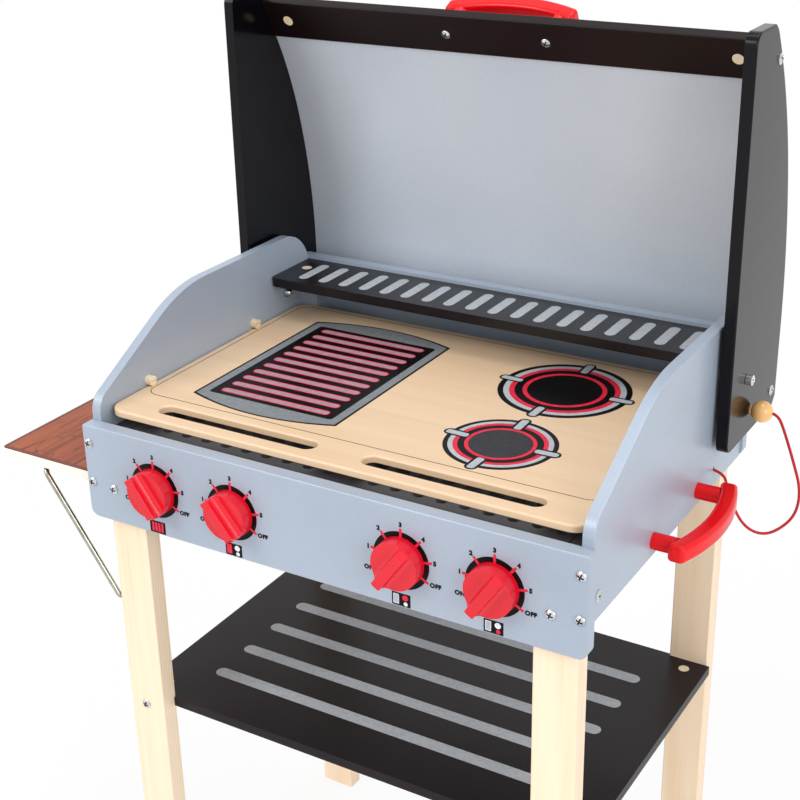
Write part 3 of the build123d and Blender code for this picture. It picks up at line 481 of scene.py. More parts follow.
@dataclass(frozen=True)
class PaleFloor(Finish):
    """A near-white floor: a soft shadow near the grill, and plain white away from it."""

    glow: float = 0.84
    near_m: float = 0.5
    far_m: float = 1.7

    def values(self) -> dict:
        """Dull white paper."""
        return {"Base Color": linear("#f4f4f4"), "Roughness": 0.9}

    def material(self) -> bpy.types.Material:
        """The paper, mixed with its own glow."""
        material = super().material()
        tree = material.node_tree
        lit = tree.nodes["Principled BSDF"].outputs[0]
        white = {"Color": linear("#ffffff"), "Strength": 1.0}
        glow = add(tree, "ShaderNodeEmission", white).outputs[0]
        length = add(tree, "ShaderNodeVectorMath", {0: place(tree)}, operation="LENGTH")
        fade = spread(tree, length.outputs["Value"], self.glow, 1.0, self.near_m, self.far_m)
        share = calc(tree, "MULTIPLY", looked_at(tree), fade)
        mix = add(tree, "ShaderNodeMixShader", {0: share, 1: lit, 2: glow}).outputs[0]
        tree.links.new(mix, tree.nodes["Material Output"].inputs["Surface"])
        return material


@dataclass(frozen=True)
class Palette:
    """Every finish of the grill, made once and shared."""

    # Silver lacquer on fibreboard panels: cool, satin, with a fine flake
    silver = Flake("silver_lacquer_on_board", "#adb9c9", "#98a4b3", 0.4)
    # Silver lacquer on the lid's thin bent board: greyer, and painted paler as painted light that
    # makes up for the shade inside the lid
    lid_silver = Flake("silver_lacquer_on_bent_board_painted_paler", "#d0d8e2", "#bfc8d3", 0.38)
    # Black piano-like lacquer: mirrors what stands near it
    gloss_black = Lacquer("gloss_black_lacquer", "#0c0a0f", "#09070c", 0.15, sheen_level=0.19)
    # Brown-black satin lacquer on the lid's front and rear bars
    bar_black = Lacquer("satin_brown_black_lacquer", "#1c1011", "#150b0c", 0.36, sheen_level=0.18)
    # Satin black lacquer on the warming rack
    rack_black = Lacquer("satin_black_lacquer", "#171315", "#110e10", 0.3, sheen_level=0.25)
    # Brown-black lacquer of the lower shelf
    shelf_black = Lacquer("brown_black_lacquer", "#231b1e", "#1b1517", 0.34, sheen_level=0.18)
    # Dark grey stain of the tray board: dull
    tray_grey = Lacquer("dark_grey_stained_board", "#626063", "#555356", 0.6, sheen_level=0.3)
    # Birch plywood legs: pale, with grain up the leg and veneers on the cut edges
    birch = Timber("birch_plywood", "#fde8cc", "#f9dfc0", "#efcda4", Run.UP, ply_mm=1.5)
    # Beech-faced cooktop: warm and even, with grain from side to side
    beech = Timber("beech_board", "#e9cba8", "#e6c6a2", "#dfbc95", Run.ACROSS)
    # Turned beech peg and ball under amber lacquer
    amber = Timber(
        "amber_lacquered_beech", "#f9cb8f", "#eeb972", "#d89a52", Run.ACROSS, roughness=0.2,
    )
    # Moulded cream nylon of the cross dowels and pins
    cream = Lacquer("moulded_cream_nylon", "#f3e3c2", "#ead7b1", 0.38)
    # Bright zinc on screws, bolts and hinges, with a painted shade in the screws' cross recesses
    zinc = Metal("bright_zinc_plate", "#dfe1e4", "#b4b7ba", 0.2)
    # Chromed wire of the stay
    chrome = Metal("chromed_wire", "#b9b7ac", "#a09e93", 0.2)
    # Red spray paint on the wooden handles
    red = Lacquer("red_lacquer_on_beech", "#ec0a15", "#e0060f", 0.24, sheen_level=0.3)
    # Red satin plastic of the dials
    dial_red = Lacquer("moulded_red_abs", "#dd1029", "#d50a21", 0.24)
    # Braided red cord: dull, with a fine weave
    cord = Braid("braided_red_polyester", "#d8121f", "#a30a15")
    # Screen inks: flat, even and hardly shiny
    black_ink = Ink("black_screen_ink", "#0f0c0d", "#0a0809")
    dark_ink = Ink("dark_grey_screen_ink", "#39373a", "#302e31")
    red_ink = Ink("red_screen_ink", "#e23048", "#d32840")
    grey_ink = Ink("grey_screen_ink", "#868a8d", "#7c8083")
    pale_ink = Ink("pale_grey_screen_ink", "#b9bdc2", "#aeb2b7")
    white_ink = Ink("white_screen_ink", "#e9eaee", "#dcdde2")
    rose_ink = Ink("rose_grey_screen_ink", "#b08f9b", "#a18390")
    line_ink = Ink("thin_brown_screen_ink", "#6d5a45", "#5d4c3a")

    made: dict = field(default_factory=dict)

    def get(self, finish: Finish) -> bpy.types.Material:
        """The finish's material, made at its first use."""
        if finish.name not in self.made:
            self.made[finish.name] = finish.material()
        return self.made[finish.name]


PALETTE = Palette()


@dataclass(frozen=True)
class Bench:
    """The grill's own axes: x from its middle, y back from the panel, z up from its top edge."""

    middle: float
    face: float
    edge: float

    def at(self, x: float, y: float, z: float) -> Array:
        """A point in millimetres on the grill's axes, as metres in the frame."""
        return np.array([self.middle + x * MM, self.face + y * MM, self.edge + z * MM])


def find_bench() -> Bench:
    """Read the grill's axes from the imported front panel."""
    low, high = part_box("front_panel")
    return Bench((low.x + high.x) / 2, low.y, high.z)


BENCH = find_bench()


def unit(vectors: Array) -> Array:
    """The same ways, one long."""
    return vectors / np.linalg.norm(vectors, axis=-1, keepdims=True)


def spokes(axis: Array, lean: Point, turn: Array) -> Array:
    """Ways square to an axis at each turn, by cosine and sine, from a side that a lean sets."""
    side = unit(np.cross(axis, lean))
    return np.outer(np.cos(turn), side) + np.outer(np.sin(turn), np.cross(axis, side))


def turned_way(degrees: float) -> Array:
    """The flat way at an angle: its cosine and sine."""
    return np.array([math.cos(math.radians(degrees)), math.sin(math.radians(degrees))])


@dataclass(frozen=True)
class Sheet:
    """A flat face to print on: a corner or centre, and two directions in it."""

    origin: Array
    across: Array
    up: Array

    @classmethod
    def level(cls, height: float) -> "Sheet":
        """A face that looks up, at a height in millimetres on the grill's axes."""
        return cls(BENCH.at(0.0, 0.0, height), X_AXIS, Y_AXIS)

    @classmethod
    def upright(cls, origin: Array) -> "Sheet":
        """A face that looks to the front."""
        return cls(origin, X_AXIS, Z_AXIS)

    def lift(self, points: Array, height: float) -> Array:
        """Put flat points, in millimetres, on the face at a height in millimetres."""
        out = np.cross(self.across, self.up)
        flat = points[:, :1] * self.across + points[:, 1:2] * self.up
        return self.origin + (flat + height * out) * MM


@dataclass
class MeshWork:
    """Vertices and faces of one piece, gathered from several surfaces."""

    points: list = field(default_factory=list)
    faces: list = field(default_factory=list)
    count: int = 0

    def add(self, points: Array, faces: list) -> None:
        """Add a surface whose faces are lists of its own point numbers."""
        start = self.count
        self.points.append(points)
        self.faces.extend([[index + start for index in face] for face in faces])
        self.count += len(points)

    def grid(self, grid: Array, close_u: bool = False, close_v: bool = False) -> None:
        """Add a surface of two parameters: grid[u, v] is a point, and each cell becomes a quad."""
        rows, columns = grid.shape[:2]
        low = np.arange(rows * columns).reshape(rows, columns)
        high = np.roll(low, -1, axis=0)
        quads = np.stack([low, high, np.roll(high, -1, axis=1), np.roll(low, -1, axis=1)], axis=-1)
        quads = quads[:rows if close_u else -1, :columns if close_v else -1]
        self.add(grid.reshape(-1, 3), quads.reshape(-1, 4).tolist())

    def capped(self, rings: Array, poles: Array) -> None:
        """Add a tube of rings[turn, height], closed by a fan round a pole at each end."""
        steps, columns = rings.shape[:2]
        first = self.count + np.arange(steps) * columns
        last = first + columns - 1
        self.grid(rings, close_u=True)
        ends = np.full((len(poles), steps), self.count) + np.arange(len(poles))[:, None]
        self.add(poles, [])
        for fan in ((ends[0], np.roll(first, -1), first), (ends[1], last, np.roll(last, -1))):
            self.faces.extend(np.stack(fan, axis=-1).tolist())

    def film(
        self, sheet: Sheet, outline: Array, high: float, hole: Array | None = None,
        low: float = 0.0,
    ) -> None:
        """Add a thin closed film on a face.

        Args:
            sheet: the face.
            outline: flat points, anticlockwise, in millimetres.
            high: the film's top above the face.
            hole: the edge of a hole, with as many points.
            low: the film's underside.
        """
        if hole is None:
            self.plate(sheet, outline, [list(range(len(outline)))], low, high)
            return
        loops = ((outline, low), (outline, high), (hole, high), (hole, low))
        rings = [sheet.lift(points, height) for points, height in loops]
        self.grid(np.stack(rings, axis=1), close_u=True, close_v=True)

    def plate(self, sheet: Sheet, flat: Array, faces: list, low: float, high: float) -> None:
        """Add a thin plate: faces on both sides, and a wall along each edge of a single face."""
        count = len(flat)
        edges = {edge for face in faces for edge in zip(face, face[1:] + face[:1])}
        walls = [[a, b, b + count, a + count] for a, b in sorted(edges) if (b, a) not in edges]
        tops = [[index + count for index in face] for face in faces]
        points = np.vstack([sheet.lift(flat, low), sheet.lift(flat, high)])
        self.add(points, [face[::-1] for face in faces] + tops + walls)

    def build(self, name: str, finish: Finish, smooth: bool = False) -> Piece:
        """Make the piece, with its place in its mesh."""
        mesh = bpy.data.meshes.new(name)
        mesh.from_pydata(np.vstack(self.points).tolist(), [], self.faces)
        mesh.validate()
        if smooth:
            mesh.shade_smooth()
        piece = bpy.data.objects.new(name, mesh)
        bpy.context.scene.collection.objects.link(piece)
        mesh.materials.append(PALETTE.get(finish))
        return piece


def circle(radius: float, centre: Flat = (0.0, 0.0), steps: int = 72) -> Array:
    """A circle's points, anticlockwise: centre plus radius times cosine and sine."""
    turn = np.linspace(0, FULL_TURN, steps, endpoint=False)
    return np.array(centre) + radius * np.stack([np.cos(turn), np.sin(turn)], axis=-1)


def turned_flat(points: Array, angle: float) -> Array:
    """Flat points turned about the origin by an angle in degrees."""
    c, s = turned_way(angle)
    return points @ np.array([[c, s], [-s, c]])


def capsule(
    length: float, width: float, centre: Flat, angle: float = 0.0, steps: int = 12,
) -> Array:
    """A bar with round ends: two half circles, turned by an angle in degrees about its centre."""
    half = length / 2 - width / 2
    turn = np.linspace(-math.pi / 2, math.pi / 2, steps)
    end = width / 2 * np.stack([np.cos(turn), np.sin(turn)], axis=-1)
    points = np.vstack([end + (half, 0.0), -end - (half, 0.0)])
    return turned_flat(points, angle) + np.array(centre)


def rounded(
    width: float, height: float, radius: float, centre: Flat = (0.0, 0.0), steps: int = 7,
) -> Array:
    """A rectangle with round corners: a quarter circle at each corner."""
    quarter = np.linspace(0, math.pi / 2, steps)
    arc = radius * np.stack([np.cos(quarter), np.sin(quarter)], axis=-1)
    inset = np.array([width / 2 - radius, height / 2 - radius])
    signs = ((1, 1), (-1, 1), (-1, -1), (1, -1))
    corners = [turned_flat(arc, 90.0 * index) + inset * sign for index, sign in enumerate(signs)]
    return np.vstack(corners) + np.array(centre)


def bowed(width: float, depth: float, bow: float, centre: Flat, steps: int = 25) -> Array:
    """A plate with straight sides whose front and back bow out as parabolas."""
    along = np.linspace(-1, 1, steps)
    back = np.stack([-along * width / 2, depth / 2 + bow * (1 - along**2)], axis=-1)
    return np.vstack([-back, back]) + np.array(centre)


def curve_mesh(curve: bpy.types.Curve) -> tuple[Array, list]:
    """A curve's points and faces, read from a mesh; the curve and the mesh are removed.

    Args:
        curve: a line or a text.

    Returns:
        The points, and the faces as lists of point numbers.
    """
    holder = bpy.data.objects.new(curve.name, curve)
    mesh = bpy.data.meshes.new_from_object(holder)
    flat = np.zeros(len(mesh.vertices) * 3)
    mesh.vertices.foreach_get("co", flat)
    faces = [list(polygon.vertices) for polygon in mesh.polygons]
    bpy.data.objects.remove(holder)
    bpy.data.curves.remove(curve)
    bpy.data.meshes.remove(mesh)
    return flat.reshape(-1, 3), faces


@dataclass(frozen=True)
class Lettering:
    """Plain bold printed letters of one height, in millimetres."""

    height: float
    boldness: float = 0.07
    spacing: float = 1.14
    low: float = 0.02
    high: float = 0.12

    def add(self, work: MeshWork, sheet: Sheet, words: str, centre: Array) -> None:
        """Add plain numbers or words to a piece, centred at a place on its face in millimetres."""
        curve = bpy.data.curves.new("words", "FONT")
        curve.body = words
        curve.offset = self.boldness
        curve.space_character = self.spacing
        curve.resolution_u = 4
        points, faces = curve_mesh(curve)
        flat = points[:, :2]
        low, high = flat.min(0), flat.max(0)
        flat = (flat - (low + high) / 2) * (self.height / (high[1] - low[1])) + centre
        work.plate(sheet, flat, faces, self.low, self.high)


def finish_piece(piece: Piece, body: str, slot: str, *replaced: str) -> None:
    """Let a piece ride on its body, hide the nodes that it stands for, and report it."""
    if replaced:
        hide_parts(*replaced)
    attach(piece, body)
    LOG.info("made %s on %s", piece.name, body)


def print_inks(stem: str, slot: str, works: dict[str, tuple[MeshWork, Finish]]) -> None:
    """Make one piece of the stand for each ink that has a film, named by the stem and its key."""
    for ending, (work, ink) in works.items():
        if work.points:
            finish_piece(work.build(stem + ending, ink), "stand", slot)


def placed(columns: tuple[Array, Array, Array], origin: Array) -> Matrix:
    """A placing matrix from an object's own x, y and z ways and its origin."""
    matrix = np.eye(4)
    matrix[:3, :3] = np.stack(columns, axis=1)
    matrix[:3, 3] = origin
    return Matrix(matrix.tolist())


@dataclass(frozen=True)
class Lamp:
    """A square soft lamp that looks at a point, both in millimetres on the grill's axes."""

    name: str
    origin: Point
    target: Point
    size: float
    power: float

    def build(self) -> None:
        """Hang the lamp."""
        data = bpy.data.lights.new(self.name, "AREA")
        data.size = self.size * MM
        data.energy = self.power
        lamp = bpy.data.objects.new(self.name, data)
        start = BENCH.at(*self.origin)
        back = unit(start - BENCH.at(*self.target))
        side = unit(np.cross(Z_AXIS, back))
        bpy.context.scene.collection.objects.link(lamp)
        lamp.matrix_world = placed((side, np.cross(back, side), back), start)


@dataclass(frozen=True)
class Studio:
    """The camera at the photograph's place, soft lamps, a pale floor and a white surround."""

    camera_mm: Point = (593.2, -836.9, 523.1)
    turn: float = 31.4
    drop: float = 23.9
    roll: float = 1.3
    focal_px: float = 1483.43
    image_px: float = 800.0
    sensor_mm: float = 36.0
    surround_light: float = 0.66
    floor_reach: float = 6.0
    lamps: tuple[Lamp, ...] = (
        Lamp("key", (-2300.0, -3300.0, 3000.0), (0.0, 100.0, 0.0), 2400.0, 100.0),
        Lamp("fill", (3900.0, -1900.0, 1500.0), (0.0, 150.0, 0.0), 2600.0, 85.0),
        Lamp("top", (200.0, 600.0, 4300.0), (0.0, 150.0, 0.0), 2400.0, 60.0),
    )

    def build(self) -> None:
        """Set up the camera, the lamps and the surround."""
        self.camera()
        for lamp in self.lamps:
            lamp.build()
        self.surround()
        self.floor()

    def camera(self) -> None:
        """Place the camera by its turn, drop and roll, found from the photograph's edges."""
        azimuth, elevation = turned_way(self.turn), turned_way(-self.drop)
        level = np.array([azimuth[0], azimuth[1], 0.0])
        ahead = np.array([-azimuth[1] * elevation[0], azimuth[0] * elevation[0], elevation[1]])
        above = np.cross(level, ahead)
        cosine, sine = turned_way(-self.roll)
        right, up = cosine * level + sine * above, cosine * above - sine * level
        data = bpy.data.cameras.new("camera")
        data.sensor_width = self.sensor_mm
        data.lens = self.focal_px / self.image_px * self.sensor_mm
        camera = bpy.data.objects.new("camera", data)
        bpy.context.scene.collection.objects.link(camera)
        camera.matrix_world = placed((right, up, -ahead), BENCH.at(*self.camera_mm))
        bpy.context.scene.camera = camera

    def surround(self) -> None:
        """A soft grey light all round that looks white to the camera and in mirrors."""
        world = bpy.data.worlds.new("surround")
        bpy.context.scene.world = world
        world.use_nodes = True
        tree = world.node_tree
        tree.nodes.clear()
        white = linear("#ffffff")
        light, seen = (
            add(tree, "ShaderNodeBackground", {"Color": white, "Strength": strength}).outputs[0]
            for strength in (self.surround_light, 1.0)
        )
        mix = add(tree, "ShaderNodeMixShader", {0: looked_at(tree), 1: light, 2: seen}).outputs[0]
        add(tree, "ShaderNodeOutputWorld", {"Surface": mix})
        bpy.context.scene.view_settings.view_transform = "Standard"

    def floor(self) -> None:
        """A wide pale floor that fades to white for the camera and keeps the shadow."""
        work = MeshWork()
        corners = [(x, y, 0.0) for x, y in ((-1, -1), (1, -1), (1, 1), (-1, 1))]
        work.add(np.array(corners) * self.floor_reach, [[0, 1, 2, 3]])
        work.build("floor", PaleFloor("pale_floor"))


@dataclass(frozen=True)
class SafetyCord:
    """The braided cord from the peg's ball to the knot behind the side panel.

    It has two lengths on one line, because the peg slides in the lid while the lid turns on the
    stand: a short one from the ball, and a long one from there to the stand.
    """

    route_mm: tuple[Point, ...] = (
        (266.4, 306.5, -5.5),
        (271.5, 306.5, -6.2),
        (278.5, 304.5, -19.0),
        (288.5, 302.5, -43.0),
        (298.0, 301.0, -69.0),
        (296.5, 296.5, -92.0),
        (283.5, 287.0, -105.8),
        (272.5, 278.0, -107.0),
        (261.5, 269.0, -98.0),
        (253.0, 262.5, -80.0),
        (247.0, 260.8, -62.0),
        (241.6, 261.6, -46.2),
        (223.4, 261.6, -46.2),
    )
    diameter_mm: float = 2.5
    short_mm: float = 42.0
    round_steps: int = 14
    steady: Point = (0.35, -0.72, 0.6)

    def line(self) -> Array:
        """Points along the route's smooth spline, read from a curve with no bevel."""
        curve = bpy.data.curves.new("cord_line", "CURVE")
        curve.dimensions = "3D"
        spline = curve.splines.new("NURBS")
        spline.points.add(len(self.route_mm) - 1)
        for point, stop in zip(spline.points, self.route_mm):
            point.co = (*BENCH.at(*stop), 1.0)
        spline.order_u = 3
        spline.use_endpoint_u = True
        spline.resolution_u = 12
        return curve_mesh(curve)[0]

    def rings(self, line: Array) -> Array:
        """Circles square to the line: a side from a steady way, turned by cosine and sine."""
        ahead = unit(np.gradient(line, axis=0))
        side = unit(np.cross(ahead, self.steady))[:, None]
        third = np.cross(side, ahead[:, None])
        turn = np.linspace(0, FULL_TURN, self.round_steps, endpoint=False)[None, :, None]
        circles = side * np.cos(turn) + third * np.sin(turn)
        return line[:, None] + circles * self.diameter_mm * MM / 2

    def tube(self, name: str, rings: Array, along: Array) -> Piece:
        """A closed tube through the rings, with u round it and v along it in metres."""
        work = MeshWork()
        work.grid(rings, close_v=True)
        steps = self.round_steps
        work.faces.append(list(range(steps)))
        work.faces.append(list(range(work.count - 1, work.count - steps - 1, -1)))
        piece = work.build(name, Palette.cord, smooth=True)
        mesh = piece.data
        corners = np.zeros(len(mesh.loops), np.int32)
        mesh.loops.foreach_get("vertex_index", corners)
        places = np.stack([(corners % steps) / steps, along[corners // steps]], axis=-1)
        layer = mesh.uv_layers.new(name="along_cord")
        layer.data.foreach_set("uv", places.astype(np.float32).ravel())
        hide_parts("red_cord")
        return piece

    def build(self) -> None:
        line = self.line()
        step = np.linalg.norm(np.diff(line, axis=0), axis=1)
        along = np.concatenate([[0.0], np.cumsum(step)])
        rings = self.rings(line)
        cut = int(np.searchsorted(along, self.short_mm * MM))
        upper = self.tube("safety_cord_upper", rings[:cut + 1], along[:cut + 1])
        lower = self.tube("safety_cord_lower", rings[cut:], along[cut:])
        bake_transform(upper)
        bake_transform(lower)
        LOG.info("made the safety cord, %.0f mm", along[-1] / MM)


class Lit(Enum):
    """Which mark of a small picture under a dial is red."""

    GRATE = "grate"
    PLATE = "plate"
    LARGE = "large"
    SMALL = "small"


@dataclass(frozen=True)
class Dial:
    """The print of one dial: a black ring, red ticks, numbers, ON and OFF, and a picture."""

    number: int
    x: float
    lit: Lit
    z: float = -45.5
    ring: Flat = (19.0, 24.8)
    tick: Flat = (19.5, 27.6)
    tick_width: float = 2.2
    word_radius: float = 30.6
    word_turn: float = 5.0
    letters: Lettering = Lettering(4.3)
    # Words, their angle, and how much farther out they stand than the others
    marks: tuple[tuple[str, float, float], ...] = (
        ("ON", 210.0, 1.6), ("1", 170.0, -0.9), ("2", 130.0, 0.0), ("3", 90.0, 0.4),
        ("4", 50.0, 0.2), ("5", 10.0, -0.6), ("OFF", -30.0, 2.6),
    )
    picture_size: Flat = (16.6, 11.4)
    picture_place: Flat = (-0.6, -34.6)
    margin: float = 1.4
    # The corner radii of the picture and of the marks in it
    corners: Flat = (0.5, 0.3)
    bar_width: float = 2.3
    bar_xs: tuple[float, ...] = (-4.8, -1.6, 1.6, 4.8)
    plate_width: float = 5.0
    plate_line: float = 0.5
    plate_centre: Flat = (-4.5, 0.0)
    # Each round mark's radius, centre and steps
    large: tuple[float, Flat, int] = (2.6, (3.6, 2.0), 28)
    small: tuple[float, Flat, int] = (1.8, (4.0, -3.2), 24)
    flat_ink: float = 0.08
    bare_ink: float = 0.1
    mark_ink: float = 0.12
    tick_ink: float = 0.14

    def build(self) -> None:
        """Print the scale and the picture."""
        centre = BENCH.at(self.x, 0.0, self.z)
        self.scale(Sheet.upright(centre))
        x, z = self.picture_place
        self.picture(Sheet.upright(centre + np.array([x, 0.0, z]) * MM))

    def scale(self, sheet: Sheet) -> None:
        """Print the ring, the ticks and the words."""
        black, red = MeshWork(), MeshWork()
        black.film(sheet, circle(self.ring[1]), self.flat_ink, circle(self.ring[0]), SUNK)
        bar = rounded(self.tick[1] - self.tick[0], self.tick_width, self.corners[1], steps=3)
        for words, angle, farther in self.marks:
            middle = turned_way(angle) * sum(self.tick) / 2
            red.film(sheet, turned_flat(bar, angle) + middle, self.tick_ink, low=SUNK)
            bend = math.copysign(self.word_turn, 90.0 - angle) if len(words) > 1 else 0.0
            reach = self.word_radius + farther
            self.letters.add(black, sheet, words, turned_way(angle + bend) * reach)
        works = {"scale": (black, Palette.black_ink), "ticks": (red, Palette.red_ink)}
        print_inks(f"dial_{self.number}_", "silver_paint", works)

    def picture(self, sheet: Sheet) -> None:
        """Print the small picture that says what the dial turns on, with its red mark."""
        black, red, white, bare = (MeshWork() for _ in range(4))
        width, height = self.picture_size
        tall = height - 2 * self.margin
        wide_corner, corner = self.corners
        black.film(sheet, rounded(width, height, wide_corner), self.flat_ink, low=SUNK)
        if self.lit is Lit.GRATE:
            for x in self.bar_xs:
                red.film(sheet, rounded(self.bar_width, tall, corner, (x, 0.0)), self.mark_ink)
        else:
            self.plate(sheet, tall, red, white, bare)
            for mark, shape in ((Lit.LARGE, self.large), (Lit.SMALL, self.small)):
                work = red if self.lit is mark else white
                work.film(sheet, circle(*shape), self.mark_ink)
        print_inks(f"dial_{self.number}_picture", "silver_paint", {
            "": (black, Palette.black_ink), "_red": (red, Palette.red_ink),
            "_white": (white, Palette.white_ink), "_bare": (bare, Palette.silver),
        })

    def plate(
        self, sheet: Sheet, tall: float, red: MeshWork, white: MeshWork, bare: MeshWork,
    ) -> None:
        """The grill plate: all red, or an outline round the bare panel."""
        wide_corner, corner = self.corners
        outer = rounded(self.plate_width, tall, wide_corner, self.plate_centre)
        if self.lit is Lit.PLATE:
            red.film(sheet, outer, self.mark_ink)
            return
        inside = 2 * self.plate_line
        size = (self.plate_width - inside, tall - inside)
        inner = rounded(*size, corner, self.plate_centre)
        white.film(sheet, outer, self.mark_ink, inner)
        bare.film(sheet, inner, self.bare_ink)


@dataclass(frozen=True)
class CooktopPrint:
    """The print on the beech board: a border line, a grate and two rings."""

    top: float = 10.0
    half: float = 222.6
    rear: float = 313.3
    border_inset: float = 7.0
    border_front: float = 60.5
    border_radius: float = 13.0
    border_line: float = 0.9
    border_ink: float = 0.05
    grate_middle: Flat = (-103.5, 177.6)
    grate_size: Flat = (148.0, 194.0)
    grate_edge: Flat = (4.6, 4.0)
    grate_bow: float = 14.0
    field_size: Flat = (127.5, 177.0)
    field_corner: float = 3.0
    bars: int = 11
    bar_pitch: float = 15.75
    bar_size: Flat = (110.0, 6.3)
    bar_line: float = 1.1
    # How high the grate's five layers of ink stand
    layers: tuple[float, ...] = (0.04, 0.07, 0.1, 0.13, 0.16)
    # Each cooking ring's middle and radius
    large: Point = (104.5, 236.5, 58.0)
    small: Point = (105.0, 115.5, 46.6)
    # How far the coloured rings of the large one lie inside its edge
    pale_ring: Flat = (5.0, 10.0)
    red_rings: tuple[Flat, ...] = ((10.0, 14.8), (21.6, 25.6))
    disc_share: float = 0.55
    disc_ink: float = 0.09
    tab_angles: tuple[float, ...] = (2.0, 92.0, 178.0, 268.0)
    tab_reach: Flat = (-18.0, 5.6)
    tab_width: float = 11.2
    # How much shorter than its tab the pale inlay is, its width and its corner radius
    tab_pale: Point = (3.6, 6.6, 2.4)
    tab_shift: float = 0.4
    tab_ink: float = 0.14

    def build(self) -> None:
        """Print everything on the board."""
        sheet = Sheet.level(self.top)
        self.border(sheet)
        self.grate(sheet)
        inks = ("black", Palette.black_ink), ("pale", Palette.pale_ink), ("red", Palette.red_ink)
        works = {name: (MeshWork(), ink) for name, ink in (*inks, ("dark", Palette.dark_ink))}
        films = {name: work for name, (work, _) in works.items()}
        disc = circle(self.small[2] * self.disc_share, self.small[:2])
        films["dark"].film(sheet, disc, self.disc_ink)
        for x, y, radius in (self.large, self.small):
            self.ring(sheet, films, (x, y), radius)
        print_inks("hob_print_", "beech", works)

    def border(self, sheet: Sheet) -> None:
        """A thin line inside the board's edge."""
        width = 2 * (self.half - self.border_inset)
        back = self.rear - self.border_inset
        depth = back - self.border_front
        centre = (0.0, (back + self.border_front) / 2)
        outer, inner = (
            rounded(width - 2 * line, depth - 2 * line, self.border_radius - line, centre)
            for line in (0.0, self.border_line)
        )
        work = MeshWork()
        work.film(sheet, outer, self.border_ink, inner, SUNK)
        print_inks("border_line", "beech", {"": (work, Palette.line_ink)})

    def grate(self, sheet: Sheet) -> None:
        """The grate: a black edge, a grey bowed frame, a black field and outlined bars."""
        black, grey, red, rose = (MeshWork() for _ in range(4))
        middle, (width, depth), (side, end) = self.grate_middle, self.grate_size, self.grate_edge
        edge_ink, grey_ink, field_ink, line_ink, bar_ink = self.layers
        black.film(sheet, bowed(width, depth, self.grate_bow, middle), edge_ink, low=SUNK)
        inner = bowed(width - side, depth - end, self.grate_bow, middle)
        grey.film(sheet, inner, grey_ink, low=SUNK)
        black.film(sheet, rounded(*self.field_size, self.field_corner, middle), field_ink)
        length, thick = self.bar_size
        line = 2 * self.bar_line
        for step in range(self.bars):
            centre = (middle[0], middle[1] + (step - (self.bars - 1) / 2) * self.bar_pitch)
            red.film(sheet, capsule(length + line, thick + line, centre), line_ink)
            rose.film(sheet, capsule(length, thick, centre), bar_ink)
        print_inks("grate_print_", "beech", {
            "black": (black, Palette.black_ink), "grey": (grey, Palette.grey_ink),
            "red": (red, Palette.red_ink), "bars": (rose, Palette.rose_ink),
        })

    def ring(self, sheet: Sheet, films: dict[str, MeshWork], centre: Flat, radius: float) -> None:
        """One cooking ring: pale and red rings on a black disc, with four tabs on its edge."""
        wide = radius / self.large[2]
        low_ink, ring_ink, black_tab_ink = self.layers[:3]
        films["black"].film(sheet, circle(radius, centre), low_ink, low=SUNK)
        rings = [("pale", self.pale_ring), *(("red", ring) for ring in self.red_rings)]
        for name, (start, end) in rings:
            outer, inner = (circle(radius - inset * wide, centre) for inset in (start, end))
            films[name].film(sheet, outer, ring_ink, inner)
        inside, outside = self.tab_reach
        length = outside - inside
        shorter, width, corner = self.tab_pale
        pale = rounded(length - shorter, width, corner)
        for angle in self.tab_angles:
            way = turned_way(angle)
            middle = np.array(centre) + way * (radius + (inside + outside) / 2)
            tab = capsule(length, self.tab_width, middle, angle)
            films["black"].film(sheet, tab, black_tab_ink)
            inlay = turned_flat(pale, angle) + middle - way * self.tab_shift
            films["pale"].film(sheet, inlay, self.tab_ink)


@dataclass(frozen=True)
class Stripes:
    """Rows of pale printed bars with round ends on a dark board."""

    name: str
    slot: str
    top: float
    length: float
    width: float
    centres: tuple[Flat, ...]
    angle: float
    ink: float = 0.07

    def build(self) -> None:
        """Print every bar of the board as one piece."""
        work = MeshWork()
        for centre in self.centres:
            bar = capsule(self.length, self.width, centre, self.angle)
            work.film(Sheet.level(self.top), bar, self.ink, low=SUNK)
        print_inks(self.name, self.slot, {"": (work, Palette.pale_ink)})


STRIPES = (
    Stripes(
        "rack_stripes", "black_paint", 51.2, 45.0, 10.0,
        tuple((side * (11.45 + 22.9 * step), 298.0) for side in (-1, 1) for step in range(9)),
        90.0,
    ),
    Stripes(
        "shelf_stripes", "dark_board", -278.5, 355.0, 13.0,
        tuple((0.0, 82.0 + 44.5 * step) for step in range(5)),
        0.0,
    ),
)


class Head(Enum):
    """A screw head's radius and height, how much of the height is dome, and its shank's radius."""

    PAN = (4.25, 2.6, 1.8, 1.5)
    BOLT = (4.75, 2.6, 1.8, 2.5)
    PIVOT = (4.6, 6.4, 1.2, 3.0)


FRONT, BACK, SIDE = (0.0, -1.0, 0.0), (0.0, 1.0, 0.0), (1.0, 0.0, 0.0)


